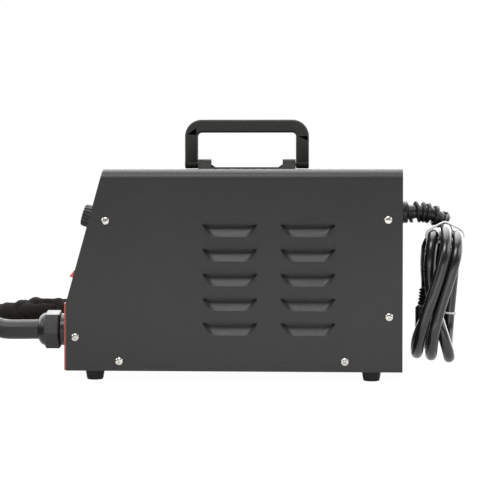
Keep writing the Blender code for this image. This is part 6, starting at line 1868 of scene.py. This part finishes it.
# ---- the two floor leads ---------------------------------------------------------------------------
@dataclass(frozen=True)
class SleeveFolds:
    """Radius of the torch lead's sleeve: loose crumples near the panel, drawn tighter further on."""

    radius: float = 0.0145
    loose_until: float = 0.20
    settling: float = 0.08
    mouth: float = 0.010
    pleat: float = 0.037

    def __call__(self, along: float, angle: float) -> float:
        """Radius at a distance along the sleeve and an angle round it."""
        free = 1 - ease((along - self.loose_until) / self.settling)
        slant = 0.013 * math.sin(angle + 0.6 + 5.0 * math.sin(along * 23.0))
        cell = Vector(((along + slant) * 58.0, 0.30 * math.cos(angle), 0.30 * math.sin(angle)))
        near, next_near = noise.voronoi(cell)[0][:2]
        crease = min(1.0, (next_near - near) / 0.42) ** 0.6
        fine = math.sin(along * 700.0 + 3 * angle + 2.0 * math.sin(along * 90.0))
        wave = along / self.pleat - 2.0 * (angle / math.tau) + 0.6 * math.sin(along * 37.0)
        fold = 0.74 * crease + 0.26 * abs(math.sin(math.pi * wave)) ** 0.7
        loose = self.radius * (0.70 + 0.41 * fold + 0.008 * fine)
        wound = self.radius * (0.86 + 0.135 * fold + 0.003 * fine)
        mixed = loose * free + wound * (1 - free)
        return mixed * (0.90 + 0.10 * ease(along / self.mouth)) if along < self.mouth else mixed


@dataclass
class TorchCollar:
    """Collar and locknut of the torch lead at the front panel."""

    y: float = 0.0400
    z: float = 0.0705
    profile: tuple[tuple[float, float], ...] = (
        (0.0, 0.0090), (0.0128, 0.0090), (0.0145, 0.0090), (0.0153, 0.0084), (0.0155, 0.0076), (0.0155, 0.0010),
        (0.0149, 0.0003), (0.0120, 0.0003), (0.0120, -0.0028), (0.0130, -0.0028), (0.0130, -0.0078),
        (0.0120, -0.0078), (0.0120, -0.0128), (0.0, -0.0128))

    def build(self) -> bpy.types.Object:
        """Make the collar."""
        made = turned("torch_collar_ring", self.profile, front_frame(self.y, self.z), 64)
        return dress(made, NYLON, Body.HOUSING, "torch_collar")


def leads() -> None:
    """Earth and torch leads with their glands and tools."""
    gland = EarthGland().build()
    earth = FloorLead(
        name="earth_cable", finish=EARTH_RUBBER, diameter=0.022, exit=(-0.2206, -0.040, 0.0545),
        knots=((-0.1990, -0.040, 0.0545), (-0.2206, -0.040, 0.0545), (-0.2450, -0.040, 0.0542),
               (-0.2620, -0.040, 0.0550), (-0.2850, -0.0388, 0.0628), (-0.3000, -0.0360, 0.0682),
               (-0.3200, -0.0305, 0.0722), (-0.3400, -0.0240, 0.0727), (-0.3600, -0.0176, 0.0721),
               (-0.3900, -0.0103, 0.0713)),
        coil_radius=0.121, coil_turns=2.0,
        tail=((0.010, 0.0), (0.028, -0.0018), (0.040, -0.0040), (0.056, -0.0088), (0.074, -0.0146), (0.086, -0.0167),
              (0.094, -0.0168), (0.1026, -0.0168)),
        nodes=("earth_lead", "earth_lead_coil", "earth_lead_tail"), run_in=((0.8, 0.0),), lift=0.0596, sides=28)
    piece = earth.build()
    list(EarthClamp().build())
    collar = TorchCollar().build()
    torch = FloorLead(
        name="torch_cable", finish=SLEEVE, diameter=0.029, exit=(-0.1963, 0.040, 0.0705),
        knots=((-0.1963, 0.040, 0.0705), (-0.2200, 0.040, 0.0702), (-0.2500, 0.040, 0.0690),
               (-0.2800, 0.0394, 0.0625), (-0.3100, 0.0384, 0.0508), (-0.3400, 0.0370, 0.0380),
               (-0.3700, 0.0352, 0.0262), (-0.3900, 0.0336, 0.0193)),
        coil_radius=0.148, coil_turns=3.0, tail=((0.006, 0.0), (0.0125, 0.0006), (0.019, 0.0012), (0.0256, 0.0012)),
        nodes=("torch_lead", "torch_lead_coil", "torch_lead_tail"), run_in=((0.72, 0.0004), (0.25, 0.0)), sides=40,
        swell=SleeveFolds(), spacing=0.0024, inside=0.074, neck=0.76)
    piece = torch.build()
    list(Torch().build())


def main() -> None:
    """Build the scene."""
    logging.basicConfig(level=logging.INFO, format="%(message)s")
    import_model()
    Studio().build()
    leads()
    MainsLead().build()
    Case().build()
    Handle().build()
    Controls().build()
    Innards().build()


if __name__ == "__main__":
    main()
